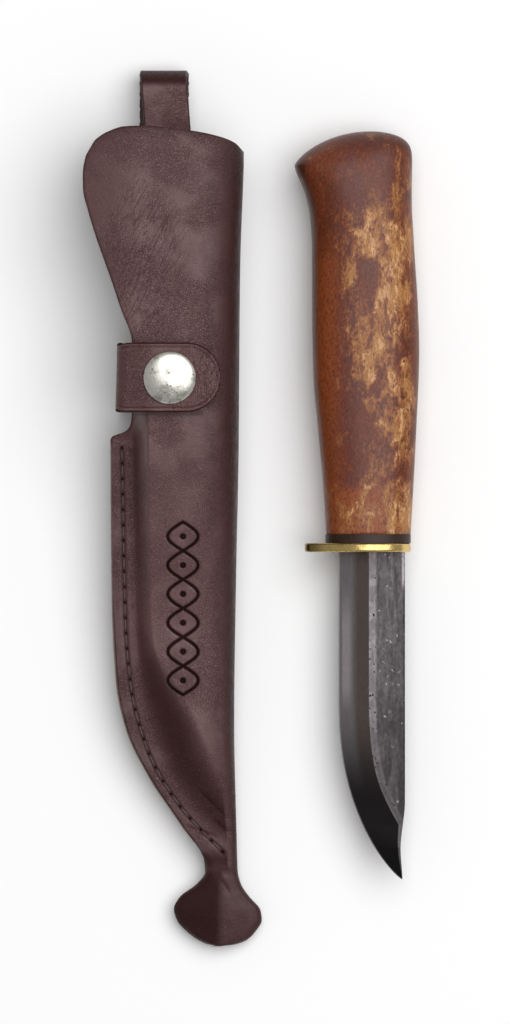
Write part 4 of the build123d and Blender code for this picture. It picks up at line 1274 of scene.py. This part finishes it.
class OBJECT_OT_sheath_belt_loop(bpy.types.Operator):
    """Folds the belt loop from one strip"""
    bl_idname = "object.sheath_belt_loop"
    bl_label = "Belt loop"

    def execute(self, context):
        material = leather_material("loop_leather", tuple(sheath_settings(context).strap_colour),
                                    LOOP_CREASED, True)
        points, faces, dark, gaps = make_belt_loop()
        obj = new_piece("belt_loop_strip", points, faces, material, "sheath", ["belt_loop"])
        # painted shade on the strip's turns, and darker along its edges
        point_values(obj, "shade_and_darkening", np.maximum(dark, gaps < 0.3))
        point_values(obj, "rim_gap", np.full(len(points), 3.0))
        return {"FINISHED"}


class OBJECT_OT_sheath_strap(bpy.types.Operator):
    """Makes the snap strap as one strip that bends at its fold"""
    bl_idname = "object.sheath_strap"
    bl_label = "Snap strap"

    def execute(self, context):
        material = leather_material("strap_leather", tuple(sheath_settings(context).strap_colour),
                                    STRAP_CREASED, True)
        points, faces, gaps = make_strap()
        obj = new_piece("snap_strap", points, faces, material, None,
                        ["strap_tail", "strap_flap"])
        # painted shade over the strap's left side, and darker along its edges
        left = smooth((-25 - points[:, 0]) / 9) * 0.38
        point_values(obj, "shade_and_darkening", np.maximum(left, gaps < 0.3))
        point_values(obj, "rim_gap", gaps)
        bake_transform(obj)
        return {"FINISHED"}


class OBJECT_OT_sheath_snap(bpy.types.Operator):
    """Makes the domed cap and dresses the snap's other parts"""
    bl_idname = "object.sheath_snap"
    bl_label = "Snap fastener"

    def execute(self, context):
        points, faces = make_cap()
        dome = new_piece("snap_dome", points, faces, nickel_material(), "strap", ["snap_cap"])
        dome.data.set_sharp_from_angle(angle=radians(50))
        brass = metal_material("snap_brass", (0.50, 0.38, 0.18), 0.4)
        repaint(["snap_socket", "snap_stud", "snap_post"], brass)
        repaint(["snap_spring"], metal_material("spring_wire", (0.55, 0.55, 0.55), 0.3))
        return {"FINISHED"}


class OBJECT_OT_knife_handle(bpy.types.Operator):
    """Shapes the wooden handle and dresses the glue and the spacer"""
    bl_idname = "object.knife_handle"
    bl_label = "Handle"

    def execute(self, context):
        settings = knife_settings(context)
        points, faces = make_handle()
        wood = wood_material(tuple(settings.wood_dark), tuple(settings.wood_light))
        obj = new_piece("birch_handle", points, faces, wood, "knife", ["handle"])
        point_values(obj, "figure", figure_share(points))
        repaint(["spacer"], plain_material("spacer_leather", (0.034, 0.014, 0.008), 0.45, 1.6, 0.08,
                                           Specular_IOR_Level=0.3))
        repaint(["tang_epoxy"], plain_material("cured_glue", (0.25, 0.18, 0.10), 0.3))
        return {"FINISHED"}


class OBJECT_OT_knife_blade(bpy.types.Operator):
    """Forges the blade and polishes the guard"""
    bl_idname = "object.knife_blade"
    bl_label = "Blade and guard"

    def execute(self, context):
        settings = knife_settings(context)
        points, faces, marks = make_blade()
        obj = new_piece("forged_blade", points, faces, blade_material(tuple(settings.steel_colour)), "knife",
                        ["blade"])
        obj.data.set_sharp_from_angle(angle=radians(4))
        point_values(obj, "from_edge", marks[:, 0])
        point_values(obj, "past_ridge", marks[:, 1])
        repaint(["guard"], guard_material(tuple(settings.brass_colour)))
        return {"FINISHED"}


class OBJECT_OT_knife_stage(bpy.types.Operator):
    """Sets the plain floor, the soft light and the camera straight above"""
    bl_idname = "object.knife_stage"
    bl_label = "Stage"

    def execute(self, context):
        settings = context.scene.stage_settings
        size = 4.0
        floor = bpy.data.meshes.new("floor")
        corners = [(-size, -size, 0), (size, -size, 0), (size, size, 0), (-size, size, 0)]
        floor.from_pydata(corners, [], [(0, 1, 2, 3)])
        floor_object = bpy.data.objects.new("floor", floor)
        context.scene.collection.objects.link(floor_object)
        n = Nodes("plain_floor")
        floor.materials.append(n.finish(tuple(settings.floor_colour), 0.9))
        world = context.scene.world or bpy.data.worlds.new("world")
        context.scene.world = world
        world.use_nodes = True
        world.node_tree.nodes["Background"].inputs["Color"].default_value = (1, 1, 1, 1)
        world.node_tree.nodes["Background"].inputs["Strength"].default_value = settings.room_light
        context.scene.view_settings.view_transform = "Standard"
        self.add_light(context, "softbox", (0.7, 0.5, 2.3), 3.2, settings.key_power)
        camera = bpy.data.cameras.new("camera")
        camera.sensor_fit = "VERTICAL"
        camera.sensor_height = 36.0
        camera.lens = camera.sensor_height * settings.camera_height / settings.view_height
        camera.clip_end = 40
        camera_object = bpy.data.objects.new("camera", camera)
        camera_object.location = (0.0011, -0.001, settings.camera_height)
        context.scene.collection.objects.link(camera_object)
        context.scene.camera = camera_object
        return {"FINISHED"}

    @staticmethod
    def add_light(context, name, place, width, power):
        light = bpy.data.lights.new(name, "AREA")
        light.shape = "DISK"
        light.size = width
        light.energy = power
        obj = bpy.data.objects.new(name, light)
        obj.location = place
        obj.rotation_euler = (Vector((0, 0, 0)) - Vector(place)).to_track_quat("-Z", "Y").to_euler()
        context.scene.collection.objects.link(obj)


OPERATORS = (OBJECT_OT_sheath_leather, OBJECT_OT_sheath_thread, OBJECT_OT_sheath_belt_loop,
             OBJECT_OT_sheath_strap, OBJECT_OT_sheath_snap, OBJECT_OT_knife_handle,
             OBJECT_OT_knife_blade, OBJECT_OT_knife_stage)


class VIEW3D_PT_whittling_knife(bpy.types.Panel):
    """The pieces of the knife and its sheath"""
    bl_idname = "VIEW3D_PT_whittling_knife"
    bl_label = "Knife and sheath"
    bl_space_type = "VIEW_3D"
    bl_region_type = "UI"
    bl_category = "Knife"

    def draw(self, context):
        for group in (sheath_settings(context), knife_settings(context), context.scene.stage_settings):
            for name in group.bl_rna.properties.keys():
                if name not in ("rna_type", "name"):
                    self.layout.prop(group, name)
        for operator in OPERATORS:
            self.layout.operator(operator.bl_idname)


SETTINGS = {"sheath_settings": SheathSettings, "knife_settings": KnifeSettings,
            "stage_settings": StageSettings}
CLASSES = (*SETTINGS.values(), *OPERATORS, VIEW3D_PT_whittling_knife)


def register():
    for cls in CLASSES:
        bpy.utils.register_class(cls)
    for name, group in SETTINGS.items():
        setattr(bpy.types.Scene, name, bpy.props.PointerProperty(type=group))


def unregister():
    for name in SETTINGS:
        delattr(bpy.types.Scene, name)
    for cls in reversed(CLASSES):
        bpy.utils.unregister_class(cls)


def main():
    register()
    for operator in OPERATORS:
        group, name = operator.bl_idname.split(".")
        getattr(getattr(bpy.ops, group), name)()


if __name__ == "__main__":
    main()
